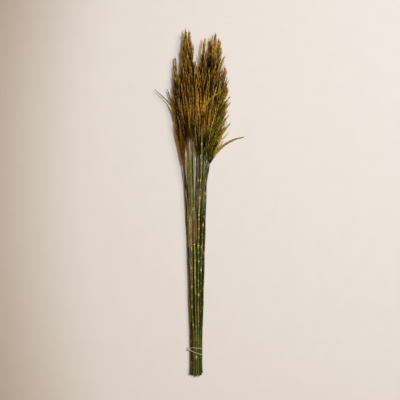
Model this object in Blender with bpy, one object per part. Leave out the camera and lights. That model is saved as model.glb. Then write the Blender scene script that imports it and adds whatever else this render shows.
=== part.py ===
"""A bundle of dried reed plumes, tied near its cut ends and lying on its side.

Metres, +Z up. The bundle lies on z = 0, and +Y runs from the cut ends to the plume tips.
The origin is on that surface, in the middle of the bundle's length and width.
Each reed is a jointed culm and, above it, a plume: a rachis with slender strands fused to it.
"""

import math
from collections import namedtuple

import bpy
import numpy as np

MM = 0.001

# Stations along the bundle, in metres of Y
BUTT_Y = -0.400
TIE_Y = -0.3385
SPREAD_Y = -0.227
WAIST_Y = -0.090
SHOULDER_Y = 0.015
NECK_Y = 0.085
MIDDLE_Y = 0.222
TIE_X = -6.2 * MM

# Culms
CULM_RADIUS_BUTT = 1.95 * MM
CULM_RADIUS_TOP = 1.65 * MM
CULM_TOP_Y = 0.150
CULM_SIDES = 6
WAISTED = 0.97
JOINT_RIDGE = 1.13
FOOT_SHARE = 0.85
JOINT_LENGTH = 2.4 * MM
JOINT_CLEAR_OF_TIE = 16.0 * MM
JOINT_CLEAR_OF_PLUME = 8.0 * MM
LOWEST_JOINT_STRETCH = 1.06
JOINT_SHORTENING = 0.012
ZIGZAG = 0.35 * MM
ZIGZAG_OPENING = 0.12
HOLLOW_SHARE = 0.62
HOLLOW_DEPTH = 14.0 * MM
CULM_PITCH = 4.78 * MM
ROW_RISE = CULM_PITCH * math.sqrt(3) / 2
CULM_GAP = 1.0 * MM
SETTLE_STEP = 0.025
SETTLE_TOP_Y = 0.175
SETTLE_ROUNDS = 300

# Plumes. Lengths of strands are shares of the plume's length.
RACHIS_SIDES = 5
RACHIS_RADIUS = 1.35 * MM
RACHIS_TIP_RADIUS = 0.45 * MM
RACHIS_RINGS = 7
STRAND_ROOT_RADIUS = 0.45 * MM
STRAND_RADIUS = 1.40 * MM
STRAND_TIP_RADIUS = 0.20 * MM
STRAND_SPACING = 4.4 * MM
STRAND_REACH = 12.5 * MM
SLIM_PLUMES = {"reed_01": 0.75, "reed_06": 0.65}
WIDEST_SHARE = 0.35
END_SHARE = 0.93
TIP_OUTLINE = 0.14
STRAND_BELLY = 0.42
BELLY_REACH = 0.8
SHORTEST_STRAND = 0.05
STRAND_LENGTHENING = 0.42
GOLDEN_ANGLE = math.pi * (3 - math.sqrt(5))
SEED = 7

# How a strand that meets another is moved: turned by a step each way, drawn in and shortened
MOVES = 16
TURN_STEP = 0.42
DRAW_IN_STEP = 0.045
SHORTEN_STEP = 0.02

# Gaps between pieces, and how finely a culm is followed when strands keep clear of it
GAP = 0.35 * MM
FLOOR_GAP = 0.40 * MM
CULM_CHECK_STEP = 40.0 * MM

# Tie string: two turns that meet in a knot at the left, with two short tails
STRING_RADIUS = 0.70 * MM
STRING_SIDES = 6
CORNER_STEP = math.radians(25)
TURN_SLANTS = ((-0.3342, -0.3365), (-0.3420, -0.3515))
KNOT_Y = -0.3390
KNOT_REACH = 7.0 * MM
KNOT_RINGS = ((-2.6, 0.8), (-1.5, 1.7), (0.1, 2.0), (1.6, 1.6), (2.7, 0.7))
KNOT_OUTWARD = 1.3 * MM
TAILS = (
    ((-1.5, -0.8, 0.3), (-3.6, -2.2, -0.6), (-6.2, -3.0, -2.6)),
    ((-1.4, 0.9, -0.4), (-3.2, 2.4, -1.8), (-4.6, 3.2, -4.4)),
)

STRING_STAND_OFF = CULM_RADIUS_BUTT * JOINT_RIDGE + GAP + STRING_RADIUS
FLOOR_ROW_Z = STRING_STAND_OFF + STRING_RADIUS

# Height of the three rows of reeds at their stations, and how much of the spread is reached at SPREAD_Y.
# Two reeds have a share of their own.
ROW_WAIST_Z = (6.0 * MM, 12.5 * MM, 19.0 * MM)
ROW_SHOULDER_Z = (8.0 * MM, 15.5 * MM, 23.0 * MM)
ROW_NECK_Z = (9.0 * MM, 18.0 * MM, 27.0 * MM)
ROW_MIDDLE_Z = (11.0 * MM, 22.0 * MM, 33.0 * MM)
SPREAD_SHARE = 0.45
OWN_SPREAD_SHARE = {"reed_12": 0.8, "reed_15": 0.0}

# One reed, in millimetres. slot is its row and its pitches from the middle of the tied bundle.
# waist, shoulder, neck and middle are its x at those stations, and tip the (x, y, z) of its plume's tip.
# lift raises its plume's middle, and base is the y where the plume starts.
# joint is the length between two joints of its culm, first the height of the lowest joint,
# and butt how much shorter the culm is cut.
Reed = namedtuple("Reed", "name slot waist shoulder neck middle lift tip base joint first butt finish")

REEDS = (
    Reed("reed_01", (0, -2.0), -25.8, -31, -34, -43, -1, (-43, 280, 9), 92, 52, 26, 2, "olive"),
    Reed("reed_02", (0, -1.0), -12.5, -13.5, -14.5, -20, 1, (-17, 350, 9), 130, 47, 38, 4, "green"),
    Reed("reed_03", (0, 0.0), -5, -2, 1.8, -2, 0, (2, 324, 8), 98, 55, 20, 1, "green"),
    Reed("reed_04", (0, 1.0), 3, 4, 7, 15, 1, (25, 374, 9), 112, 44, 32, 3, "olive"),
    Reed("reed_05", (0, 2.0), 11, 14, 23.5, 53, -1, (62, 270, 9), 80, 50, 14, 5, "green"),
    Reed("reed_06", (1, -2.5), -23.6, -26.5, -35.7, -49, -2, (-54, 330, 14), 72, 46, 30, 3, "green"),
    Reed("reed_07", (1, -1.5), -19, -21.5, -24.8, -36, 2, (-35, 355, 18), 135, 50, 18, 2, "tan"),
    Reed("reed_08", (1, -0.5), -6.5, -7.5, -5.2, -8, 0, (-8, 318, 19), 128, 45, 36, 0, "green"),
    Reed("reed_09", (1, 0.5), -1.6, -2.8, -0.8, 2, 3, (7, 338, 22), 96, 40, 10, 4, "tan"),
    Reed("reed_10", (1, 1.5), 5, 8.5, 10, 35, 0, (45, 375, 16), 116, 49, 28, 1, "olive"),
    Reed("reed_11", (1, 2.5), 12.5, 15.5, 18.5, 46, 2, (60, 309, 17), 88, 51, 40, 6, "green"),
    Reed("reed_12", (2, -1.0), -17.8, -22.6, -25.6, -28, -1, (-30.5, 394, 22), 128, 43, 22, 3, "yellow"),
    Reed("reed_13", (2, 0.0), -10.5, -15.7, -18.7, -14, 1, (-23, 391, 24), 141, 38, 33, 0, "yellow"),
    Reed("reed_14", (2, 1.0), -1.2, 1.8, 5.8, 7, 2, (12.5, 372, 25), 169, 38, 19, 1, "yellow"),
    Reed("reed_15", (2, 2.0), 6, 14.3, 15, 22, 0, (37, 387, 23), 121, 48, 36, 2, "green"),
)

# Heights in millimetres of the joints that show as bright rings on the front culms.
# The other culms take theirs from the reed's own joint length.
SEEN_JOINTS = {
    "reed_01": (-362, -295, -252, -209, -166, -123, -81, -46, -11, 23),
    "reed_09": (-362, -312, -272, -232, -192, -152, -112, -72, -32, 8, 48),
    "reed_11": (-358, -290, -244, -200, -158, -119, -79, -38, 2, 43),
    "reed_12": (-362, -320, -283, -241, -195, -152, -109, -71, -33, 5, 43, 84),
    "reed_13": (-357, -319, -288, -250, -212, -174, -136, -98, -58, -18, 24, 69, 111),
    "reed_14": (-360, -307, -274, -244, -214, -182, -137, -101, -63, -31, 8, 48, 86, 131),
    "reed_15": (-360, -298, -252, -205, -157, -104, -54, -18, 18, 48, 84),
}

# Single strands that stand out of the mass: the reed, the y of the root, and (x, y, z) points from there.
STRAY_STRANDS = (
    ("reed_06", 166, ((-52, 190, 19), (-65, 220, 17), (-82, 239, 14), (-101.5, 257, 11))),
    ("reed_01", 180, ((-57, 218, 11), (-66, 236, 10), (-74, 259, 9))),
    ("reed_05", 96, ((43, 116, 9), (53, 126, 8), (63, 133, 7), (84, 144, 6), (104, 149, 5))),
    ("reed_05", 128, ((49, 150, 12), (62, 168, 12), (73, 181, 11))),
    ("reed_11", 150, ((47, 170, 22), (55, 182, 24), (68, 198, 24))),
    ("reed_11", 178, ((55, 206, 23), (62, 214, 24), (72, 228, 24))),
    ("reed_11", 200, ((57, 236, 22), (62, 247, 23), (68, 256, 23))),
    ("reed_10", 262, ((42, 290, 23), (51, 318, 26), (62, 340, 27))),
)

# Strands that lie along the floor under the outer plumes and carry them:
# the reed, the y of the root, and the (x, y) where the strand comes down and where it lifts again.
FLOOR_STRANDS = (
    ("reed_01", 165, (-47, 212), (-47, 242)),
    ("reed_05", 140, (52, 196), (57, 228)),
)
FLOOR_STRAND_RADIUS = 1.3 * MM
LONE_ROOT_RADIUS = 0.9 * MM
LONE_RADIUS = 1.15 * MM
LONE_NARROW_RADIUS = 0.8 * MM
LONE_TIP_RADIUS = 0.3 * MM

# The reeds at the corners of the tied bundle, counterclockwise from below, seen from the cut ends
TIE_CORNERS = ("reed_01", "reed_05", "reed_11", "reed_15", "reed_12", "reed_06")

FINISHES = {
    "culm_green": ((0.080, 0.110, 0.028), 0.45),
    "culm_olive": ((0.155, 0.150, 0.050), 0.48),
    "culm_yellow": ((0.300, 0.290, 0.070), 0.42),
    "culm_tan": ((0.260, 0.180, 0.090), 0.55),
    "plume_brown": ((0.170, 0.095, 0.024), 0.75),
    "plume_gold": ((0.290, 0.180, 0.036), 0.72),
    "plume_olive": ((0.190, 0.150, 0.030), 0.75),
    "string": ((0.620, 0.560, 0.420), 0.85),
}
PLUME_FINISH = {
    "reed_01": "plume_brown", "reed_02": "plume_brown", "reed_03": "plume_brown",
    "reed_04": "plume_olive", "reed_05": "plume_olive", "reed_06": "plume_olive",
    "reed_07": "plume_brown", "reed_08": "plume_gold", "reed_09": "plume_brown",
    "reed_10": "plume_olive", "reed_11": "plume_gold", "reed_12": "plume_brown",
    "reed_13": "plume_brown", "reed_14": "plume_gold", "reed_15": "plume_gold",
}


# Scene and materials

def clear_scene():
    for obj in list(bpy.data.objects):
        bpy.data.objects.remove(obj, do_unlink=True)


def make_finish(name):
    colour, roughness = FINISHES[name]
    material = bpy.data.materials.new(name)
    material.use_nodes = True
    shader = material.node_tree.nodes["Principled BSDF"]
    shader.inputs["Base Color"].default_value = (*colour, 1.0)
    shader.inputs["Roughness"].default_value = roughness
    shader.inputs["Metallic"].default_value = 0.0
    return material


def add_object(name, points, faces, finish):
    mesh = bpy.data.meshes.new(name)
    mesh.from_pydata([tuple(p) for p in points], [], faces)
    mesh.validate()
    obj = bpy.data.objects.new(name, mesh)
    bpy.context.scene.collection.objects.link(obj)
    mesh.materials.append(bpy.data.materials.get(finish) or make_finish(finish))
    return obj


# Curves through stations

def smooth_through(stations, values, y):
    """A curve through the values that never overshoots between two stations (Fritsch and Carlson)."""
    s = np.asarray(stations, float)
    v = np.asarray(values, float)
    step = np.diff(s)
    slope = np.diff(v) / step
    tangent = np.empty(len(s))
    tangent[0], tangent[-1] = slope[0], slope[-1]
    for i in range(1, len(s) - 1):
        before, after = slope[i - 1], slope[i]
        weights = 2 * step[i] + step[i - 1], step[i] + 2 * step[i - 1]
        level = before * after <= 0
        tangent[i] = 0 if level else sum(weights) / (weights[0] / before + weights[1] / after)
    y = np.asarray(y, float)
    i = np.clip(np.searchsorted(s, y) - 1, 0, len(s) - 2)
    t = (y - s[i]) / step[i]
    return (
        v[i] * (1 + 2 * t) * (1 - t) ** 2
        + tangent[i] * step[i] * t * (1 - t) ** 2
        + v[i + 1] * t * t * (3 - 2 * t)
        + tangent[i + 1] * step[i] * t * t * (t - 1)
    )


def tie_place(reed):
    row, pitches = reed.slot
    return TIE_X + pitches * CULM_PITCH, FLOOR_ROW_Z + row * ROW_RISE


def wanted_place(reed, y):
    """The reed's (x, z) at each y before the culms have pushed each other apart."""
    row = reed.slot[0]
    tie_x, tie_z = tie_place(reed)
    tip_x, tip_y, tip_z = (value * MM for value in reed.tip)
    waist, shoulder, neck = reed.waist * MM, reed.shoulder * MM, reed.neck * MM
    stations = (BUTT_Y, TIE_Y, SPREAD_Y, WAIST_Y, SHOULDER_Y, NECK_Y, MIDDLE_Y, tip_y)
    spread = tie_x + OWN_SPREAD_SHARE.get(reed.name, SPREAD_SHARE) * (waist - tie_x)
    x = smooth_through(stations, (tie_x, tie_x, spread, waist, shoulder, neck, reed.middle * MM, tip_x), y)
    rise = tie_z + SPREAD_SHARE * (ROW_WAIST_Z[row] - tie_z)
    heights = (tie_z, tie_z, rise, ROW_WAIST_Z[row], ROW_SHOULDER_Z[row], ROW_NECK_Z[row])
    z = smooth_through(stations, (*heights, ROW_MIDDLE_Z[row] + reed.lift * MM, tip_z), y)
    return np.stack([x, z], axis=-1)


def settle(places, least):
    """Pushes apart the places, one row each, that are closer together than least."""
    for _ in range(SETTLE_ROUNDS):
        apart = places[:, None] - places[None]
        distance = np.linalg.norm(apart, axis=2)
        np.fill_diagonal(distance, 1.0)
        short = np.clip(least - distance, 0, None)
        if not short.any():
            break
        places = places + (apart / distance[..., None] * short[..., None]).sum(axis=1) * 0.3
    return places


def settled_places():
    """For each reed, its stations along Y and its (x, z) at each of them."""
    common = np.arange(BUTT_Y, SETTLE_TOP_Y + 1e-6, SETTLE_STEP)
    wanted = np.array([wanted_place(reed, common) for reed in REEDS])
    for k, y in enumerate(common):
        at_tie = abs(y - TIE_Y) < JOINT_CLEAR_OF_TIE + SETTLE_STEP
        least = 2 * culm_radius(y) * JOINT_RIDGE + (GAP if at_tie else CULM_GAP)
        wanted[:, k] = settle(wanted[:, k], least)
    lines = {}
    for reed, places in zip(REEDS, wanted):
        tip_y = reed.tip[1] * MM
        above = np.linspace(SETTLE_TOP_Y, tip_y, 8)[1:]
        stations = np.concatenate([common, above])
        lines[reed.name] = stations, np.vstack([places, wanted_place(reed, above)])
    return lines


def culm_joints(reed):
    """Y of each joint of the culm, kept from under the string."""
    if reed.name in SEEN_JOINTS:
        return np.array(SEEN_JOINTS[reed.name]) * MM
    y = BUTT_Y + reed.first * MM
    joints = []
    below_tie = TIE_Y - JOINT_CLEAR_OF_TIE
    while y < reed.base * MM - JOINT_CLEAR_OF_PLUME:
        joints.append(min(y, below_tie) if abs(y - TIE_Y) < JOINT_CLEAR_OF_TIE else y)
        y += reed.joint * MM * (LOWEST_JOINT_STRETCH - JOINT_SHORTENING * len(joints))
    return np.array(joints)


def reed_line(reed, y):
    """Points of the reed's middle line, from the cut end to the plume's tip, at each y."""
    y = np.asarray(y, float)
    stations, places = LINES[reed.name]
    x = smooth_through(stations, places[:, 0], y)
    z = smooth_through(stations, places[:, 1], y)
    joints = culm_joints(reed)
    opened = np.clip((joints - TIE_Y) / ZIGZAG_OPENING, 0, 1)
    swing = np.where(np.arange(len(joints)) % 2 == 0, 1.0, -1.0) * opened * ZIGZAG
    x = x + np.interp(y, joints, swing, left=0.0, right=0.0)
    return np.stack([x, y, z], axis=-1)


def culm_radius(y):
    share = np.clip((np.asarray(y, float) - BUTT_Y) / (CULM_TOP_Y - BUTT_Y), 0, 1)
    return CULM_RADIUS_BUTT + (CULM_RADIUS_TOP - CULM_RADIUS_BUTT) * share


# Rings and lofts

def ring_frame(direction):
    """Unit vectors across a line that runs mostly along Y: the first level, the second upward."""
    direction = direction / np.linalg.norm(direction)
    level = np.cross(direction, (0.0, 0.0, 1.0))
    level /= np.linalg.norm(level)
    return level, np.cross(level, direction)


def ring(centre, direction, radius, sides, turn=0.0):
    level, upward = ring_frame(direction)
    angles = turn + 2 * math.pi * np.arange(sides) / sides
    return centre + radius * (np.outer(np.cos(angles), level) + np.outer(np.sin(angles), upward))


def directions_along(points):
    return np.gradient(points, axis=0)


def loft(rings, tip=None, closed=False):
    """Points and faces of a body through rings of equal count, with flat ends or one pointed end."""
    sides = len(rings[0])
    points = [p for r in rings for p in r]
    faces = []
    pairs = len(rings) if closed else len(rings) - 1
    for k in range(pairs):
        low, high = k * sides, (k + 1) % len(rings) * sides
        for i in range(sides):
            j = (i + 1) % sides
            faces.append((low + i, high + i, high + j, low + j))
    if not closed:
        faces.append(tuple(range(sides)))
        last = (len(rings) - 1) * sides
        if tip is None:
            faces.append(tuple(range(last + sides - 1, last - 1, -1)))
        else:
            points.append(tip)
            for i in range(sides):
                faces.append((last + (i + 1) % sides, last + i, len(points) - 1))
    return points, faces


def build_culm(reed):
    """The jointed, hollow-ended culm, from its cut end to the plume's foot."""
    butt = BUTT_Y + reed.butt * MM
    top = reed.base * MM - GAP
    stations = [(butt, 1.0)]
    for joint in culm_joints(reed):
        stations += [(joint - JOINT_LENGTH, WAISTED), (joint, JOINT_RIDGE)]
    stations.append((top, FOOT_SHARE))
    y = np.array([s[0] for s in stations])
    centres = reed_line(reed, y)
    radii = culm_radius(y) * [s[1] for s in stations]
    flat = np.array([0.0, 1.0, 0.0])
    along = directions_along(centres)
    along[0] = along[-1] = flat
    rings = [ring(c, d, r, CULM_SIDES) for c, d, r in zip(centres, along, radii)]
    floor_centre = reed_line(reed, butt + HOLLOW_DEPTH)
    inner = radii[0] * HOLLOW_SHARE
    hollow = [ring(floor_centre, flat, inner, CULM_SIDES), ring(centres[0], flat, inner, CULM_SIDES)]
    points, faces = loft(hollow + rings)
    return add_object(f"{reed.name}_culm", points, faces, f"culm_{reed.finish}")


# Clearance between the plumes

def distances(a0, a1, b0, b1):
    """Least distance from segment a to each segment b, and where along each it lies."""
    da, db, apart = a1 - a0, b1 - b0, a0 - b0
    aa = da @ da
    bb = np.einsum("ij,ij->i", db, db)
    ab = db @ da
    af = apart @ da
    bf = np.einsum("ij,ij->i", db, apart)
    spread = aa * bb - ab * ab
    s = np.clip(np.divide(ab * bf - af * bb, spread, out=np.zeros_like(spread), where=spread > 1e-18), 0, 1)
    t = np.clip((ab * s + bf) / bb, 0, 1)
    s = np.clip((ab * t - af) / aa, 0, 1)
    between = (a0 + np.outer(s, da)) - (b0 + db * t[:, None])
    return np.linalg.norm(between, axis=1), s, t


class Occupied:
    """Tapered rods already placed, each with the reed it belongs to and whether it is that reed's core."""

    def __init__(self):
        self.starts, self.ends = np.empty((0, 3)), np.empty((0, 3))
        self.radii = np.empty((0, 2))
        self.owners = np.empty(0, int)
        self.is_core = np.empty(0, bool)

    def add(self, owner, points, radii, is_core=False):
        count = len(points) - 1
        self.starts = np.vstack([self.starts, points[:-1]])
        self.ends = np.vstack([self.ends, points[1:]])
        self.radii = np.vstack([self.radii, np.column_stack([radii[:-1], radii[1:]])])
        self.owners = np.append(self.owners, [owner] * count)
        self.is_core = np.append(self.is_core, [is_core] * count)

    def is_free(self, owner, points, radii):
        """Whether a strand keeps clear: its root may touch its own plume, and its next part its core."""
        middle = (points[0] + points[1]) / 2
        points = [points[0], middle, *points[1:]]
        radii = [radii[0], (radii[0] + radii[1]) / 2, *radii[1:]]
        own = self.owners == owner
        allowed = own, own & self.is_core, np.zeros(len(own), bool)
        for k, may_touch in enumerate(allowed):
            apart, s, t = distances(points[k], points[k + 1], self.starts, self.ends)
            here = radii[k] + (radii[k + 1] - radii[k]) * s
            there = self.radii[:, 0] + (self.radii[:, 1] - self.radii[:, 0]) * t
            if ((apart - here - there < GAP) & ~may_touch).any():
                return False
        return True


# Plumes

def rachis_line(reed):
    y = np.linspace(reed.base * MM, reed.tip[1] * MM, RACHIS_RINGS)
    share = np.linspace(0, 1, RACHIS_RINGS)
    radii = RACHIS_RADIUS + (RACHIS_TIP_RADIUS - RACHIS_RADIUS) * share
    return reed_line(reed, y), radii


def plume_outline(share):
    """How wide the plume is at a share of its length: it widens from the foot and closes at the tip."""
    share = np.asarray(share, float)
    widening = np.clip(share / WIDEST_SHARE, 0, 1) ** 0.7
    closing = np.clip((1 - share) / (1 - WIDEST_SHARE), 0, 1) ** 0.6
    return widening * np.maximum(closing, TIP_OUTLINE)


def strand_line(reed, share, angle, length, reach):
    """Root, belly and tip of a strand that leaves the rachis at a share of its length."""
    base, tip = reed.base * MM, reed.tip[1] * MM
    along = np.array([0.0, STRAND_BELLY, 1.0])
    y = base + share * (tip - base) + along * length
    points = reed_line(reed, y)
    level, upward = ring_frame(np.array([0.0, 1.0, 0.0]))
    outward = math.cos(angle) * level + math.sin(angle) * upward
    width = np.array([0.0, BELLY_REACH, 1.0]) * plume_outline((y - base) / (tip - base))
    points += np.outer(reach * width, outward)
    lowest = np.array([STRAND_ROOT_RADIUS, STRAND_RADIUS, STRAND_TIP_RADIUS]) + FLOOR_GAP
    points[:, 2] = np.maximum(points[:, 2], lowest)
    return points


def strand_plan(reed, rng):
    """Share of the rachis, angle, length and reach of each strand, from the foot to the tip."""
    plume = (reed.tip[1] - reed.base) * MM
    widest = STRAND_REACH * SLIM_PLUMES.get(reed.name, 1.0)
    count = int(plume / STRAND_SPACING)
    for k in range(count):
        share = 0.01 + END_SHARE * k / count
        wanted = SHORTEST_STRAND + STRAND_LENGTHENING * (1 - share) ** 0.85
        length = plume * min(wanted * rng.uniform(0.85, 1.12), (1 - share) * rng.uniform(0.8, 1.0))
        yield share, k * GOLDEN_ANGLE, length, widest * rng.uniform(0.65, 1.1)


def place_strand(occupied, owner, reed, share, angle, length, reach):
    """The first clear line near the wanted one: turned round the rachis, or drawn in and shortened."""
    radii = np.array([STRAND_ROOT_RADIUS, STRAND_RADIUS, STRAND_TIP_RADIUS])
    for step in range(MOVES):
        turned = angle + (-1) ** step * (step + 1) // 2 * TURN_STEP
        shorter = length * (1 - SHORTEN_STEP * step)
        points = strand_line(reed, share, turned, shorter, reach * (1 - DRAW_IN_STEP * step))
        if occupied.is_free(owner, points, radii):
            occupied.add(owner, points, radii)
            return points
    return None


def strand_body(name, points, radii, finish):
    """A three-sided strand: its root ring lies inside the rachis, and it ends in a point."""
    points = np.asarray(points, float)
    along = directions_along(points)
    rings = [ring(p, d, r, 3, turn=math.pi / 2) for p, d, r in zip(points[:-1], along[:-1], radii)]
    return add_object(name, *loft(rings, tip=points[-1]), finish)


def stray_radii(count):
    radii = (LONE_ROOT_RADIUS, LONE_RADIUS, LONE_NARROW_RADIUS, LONE_TIP_RADIUS)
    return np.interp(np.arange(count), (0, 1, count - 2, count - 1), radii)


def floor_strand_points(root, down, lift):
    """A strand whose flat lower side lies on the floor from where it comes down to where it lifts."""
    level = FLOOR_STRAND_RADIUS / 2
    down = np.array([*down, 0.0]) * MM + (0.0, 0.0, level)
    lift = np.array([*lift, 0.0]) * MM + (0.0, 0.0, level)
    end = lift + (lift - down) * 0.5 + (0.0, 0.0, 2 * level)
    return np.array([root, down, lift, end])


def floor_strand_body(name, points, finish):
    """Its rings stand square to Y with one side down, so its lower side is flat."""
    square = np.array([0.0, 1.0, 0.0])
    radii = (LONE_ROOT_RADIUS, FLOOR_STRAND_RADIUS, FLOOR_STRAND_RADIUS)
    rings = [ring(p, square, r, 3, turn=math.pi / 2) for p, r in zip(points[:-1], radii)]
    return add_object(name, *loft(rings, tip=points[-1]), finish)


def fuse(body, pieces):
    """Joins the pieces to the body with one union, and removes them."""
    group = bpy.data.collections.new(f"{body.name}_strands")
    for piece in pieces:
        group.objects.link(piece)
    union = body.modifiers.new("strands", "BOOLEAN")
    union.operation = "UNION"
    union.operand_type = "COLLECTION"
    union.collection = group
    union.solver = "MANIFOLD"
    graph = bpy.context.evaluated_depsgraph_get()
    joined = bpy.data.meshes.new_from_object(body.evaluated_get(graph))
    body.modifiers.clear()
    body.data = joined
    for piece in pieces:
        bpy.data.objects.remove(piece, do_unlink=True)
    bpy.data.collections.remove(group)


def lone_strands():
    """Points of the stray and floor strands of each reed, by its name."""
    reeds = {reed.name: reed for reed in REEDS}
    strays = {name: [] for name in reeds}
    for name, root_y, points in STRAY_STRANDS:
        strays[name].append(np.vstack([reed_line(reeds[name], root_y * MM), np.array(points) * MM]))
    props = {}
    for name, root_y, down, lift in FLOOR_STRANDS:
        props[name] = floor_strand_points(reed_line(reeds[name], root_y * MM), down, lift)
    return strays, props


def fixed_rods(strays, props):
    """The culms, the rachises and the lone strands, which every other strand keeps clear of."""
    occupied = Occupied()
    for owner, reed in enumerate(REEDS):
        y = np.arange(BUTT_Y, reed.base * MM, CULM_CHECK_STEP)
        occupied.add(owner, reed_line(reed, y), culm_radius(y) * JOINT_RIDGE)
        occupied.add(owner, *rachis_line(reed), is_core=True)
        for points in strays[reed.name]:
            occupied.add(owner, points, stray_radii(len(points)))
        if reed.name in props:
            points = props[reed.name]
            occupied.add(owner, points, np.full(len(points), FLOOR_STRAND_RADIUS))
    return occupied


def grow_strands(occupied):
    """Strands of every plume, grown a little at a time on each in turn."""
    rng = np.random.default_rng(SEED)
    plans = [list(strand_plan(reed, rng)) for reed in REEDS]
    strands = {reed.name: [] for reed in REEDS}
    for k in range(max(len(plan) for plan in plans)):
        for owner, reed in enumerate(REEDS):
            if k < len(plans[owner]):
                points = place_strand(occupied, owner, reed, *plans[owner][k])
                if points is not None:
                    strands[reed.name].append(points)
    return strands


def build_plume(reed, strands, strays, prop):
    finish = PLUME_FINISH[reed.name]
    centres, radii = rachis_line(reed)
    along = directions_along(centres)
    along[0] = (0.0, 1.0, 0.0)
    rings = [ring(c, d, r, RACHIS_SIDES) for c, d, r in zip(centres, along, radii)]
    plume = add_object(f"{reed.name}_plume", *loft(rings), finish)
    radii = (STRAND_ROOT_RADIUS, STRAND_RADIUS)
    pieces = [strand_body("strand", points, radii, finish) for points in strands]
    pieces += [strand_body("stray", points, stray_radii(len(points)), finish) for points in strays]
    if prop is not None:
        pieces.append(floor_strand_body("prop", prop, finish))
    fuse(plume, pieces)


def build_plumes():
    strays, props = lone_strands()
    strands = grow_strands(fixed_rods(strays, props))
    for reed in REEDS:
        build_plume(reed, strands[reed.name], strays[reed.name], props.get(reed.name))


# The tie

def string_route():
    """Places of the string's middle line round the corner culms, and the way outward at each."""
    corners = [np.array(tie_place(reed)) for name in TIE_CORNERS for reed in REEDS if reed.name == name]
    route = []
    for i, corner in enumerate(corners):
        before = corner - corners[i - 1]
        after = corners[(i + 1) % len(corners)] - corner
        start = math.atan2(before[1], before[0]) - math.pi / 2
        turn = (math.atan2(after[1], after[0]) - math.pi / 2 - start) % (2 * math.pi)
        steps = math.ceil(turn / CORNER_STEP)
        for k in range(steps + 1):
            angle = start + turn * k / steps
            outward = np.array([math.cos(angle), math.sin(angle)])
            route.append((corner + STRING_STAND_OFF * outward, outward))
    return route


def knot_place(route):
    """The middle of the knot, beside the string's leftmost place."""
    leftmost, _ = min(route, key=lambda stop: stop[0][0])
    return np.array([leftmost[0] - KNOT_OUTWARD, KNOT_Y, leftmost[1]])


def build_turn(name, route, knot, left_y, right_y):
    """One turn of the string round the culms: it leaves the knot and slants from left_y to right_y."""
    left_x = min(place[0] for place, _ in route)
    right_x = max(place[0] for place, _ in route)
    angles = math.pi / STRING_SIDES + 2 * math.pi * np.arange(STRING_SIDES) / STRING_SIDES
    across = STRING_RADIUS / math.cos(math.pi / STRING_SIDES)
    rings = []
    for place, outward in route:
        y = left_y + (right_y - left_y) * (place[0] - left_x) / (right_x - left_x)
        nearness = max(0.0, 1 - math.dist(place, (knot[0], knot[2])) / KNOT_REACH)
        centre = np.array([place[0], y + (KNOT_Y - y) * nearness, place[1]])
        normal = np.array([outward[0], 0.0, outward[1]])
        along = np.array([0.0, -1.0, 0.0])
        rings.append(centre + across * (np.outer(np.cos(angles), normal) + np.outer(np.sin(angles), along)))
    return add_object(name, *loft(rings, closed=True), "string")


def build_tie():
    route = string_route()
    knot = knot_place(route)
    tie, lower_turn = (
        build_turn(name, route, knot, *slant) for name, slant in zip(("tie", "lower_turn"), TURN_SLANTS)
    )
    square = np.array([0.0, 1.0, 0.0])
    lump = [ring(knot + (0.0, y * MM, 0.0), square, radius * MM, STRING_SIDES) for y, radius in KNOT_RINGS]
    pieces = [lower_turn, add_object("knot", *loft(lump), "string")]
    for offsets in TAILS:
        points = knot + np.vstack([np.zeros(3), np.array(offsets) * MM])
        rings = [ring(p, d, STRING_RADIUS, STRING_SIDES) for p, d in zip(points, directions_along(points))]
        pieces.append(add_object("tail", *loft(rings), "string"))
    fuse(tie, pieces)


clear_scene()
LINES = settled_places()
for reed in REEDS:
    build_culm(reed)
build_plumes()
build_tie()
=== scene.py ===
# %% [markdown]
# # A bundle of dried reed plumes
# Fifteen cut reeds lie side by side, tied with thin string near their cut ends. Each is a jointed
# hollow culm that carries a plume: an axis with some hundred branches, and on every branch rows of
# small pointed spikelets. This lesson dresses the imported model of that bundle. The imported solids
# stay where they are, and each one is hidden behind a finer piece that stands for it.

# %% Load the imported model
import math
from collections import namedtuple

import bpy
import numpy as np
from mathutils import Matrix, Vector


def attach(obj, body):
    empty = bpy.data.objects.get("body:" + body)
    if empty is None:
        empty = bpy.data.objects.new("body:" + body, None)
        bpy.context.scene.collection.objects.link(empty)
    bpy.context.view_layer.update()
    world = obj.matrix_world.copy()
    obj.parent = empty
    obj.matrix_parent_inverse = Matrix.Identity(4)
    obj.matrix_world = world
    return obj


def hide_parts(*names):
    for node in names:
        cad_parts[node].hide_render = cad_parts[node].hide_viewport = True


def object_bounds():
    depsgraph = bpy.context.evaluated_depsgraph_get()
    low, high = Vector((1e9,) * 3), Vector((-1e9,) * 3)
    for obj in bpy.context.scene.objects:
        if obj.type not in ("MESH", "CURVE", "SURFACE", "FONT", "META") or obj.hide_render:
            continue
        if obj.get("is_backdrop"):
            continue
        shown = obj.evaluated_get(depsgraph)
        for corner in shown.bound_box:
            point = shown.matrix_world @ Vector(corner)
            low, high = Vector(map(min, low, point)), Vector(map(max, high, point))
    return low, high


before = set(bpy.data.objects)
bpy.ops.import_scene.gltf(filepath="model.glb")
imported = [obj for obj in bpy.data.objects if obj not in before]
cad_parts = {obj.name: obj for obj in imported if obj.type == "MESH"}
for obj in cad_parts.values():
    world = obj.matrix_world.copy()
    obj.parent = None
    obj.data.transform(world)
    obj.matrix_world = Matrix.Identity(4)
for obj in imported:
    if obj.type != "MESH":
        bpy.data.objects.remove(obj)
cad_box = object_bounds()
MM = 0.001
UP = np.array([0.0, 0.0, 1.0])
print("packed nodes:", len(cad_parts))

# %% [markdown]
# ## Camera
# The photograph looks straight down on the bundle from far away, so there is almost no
# perspective. A long lens two and a half metres above the floor gives the same view. The lens
# follows from how much floor the square picture shows.

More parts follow.
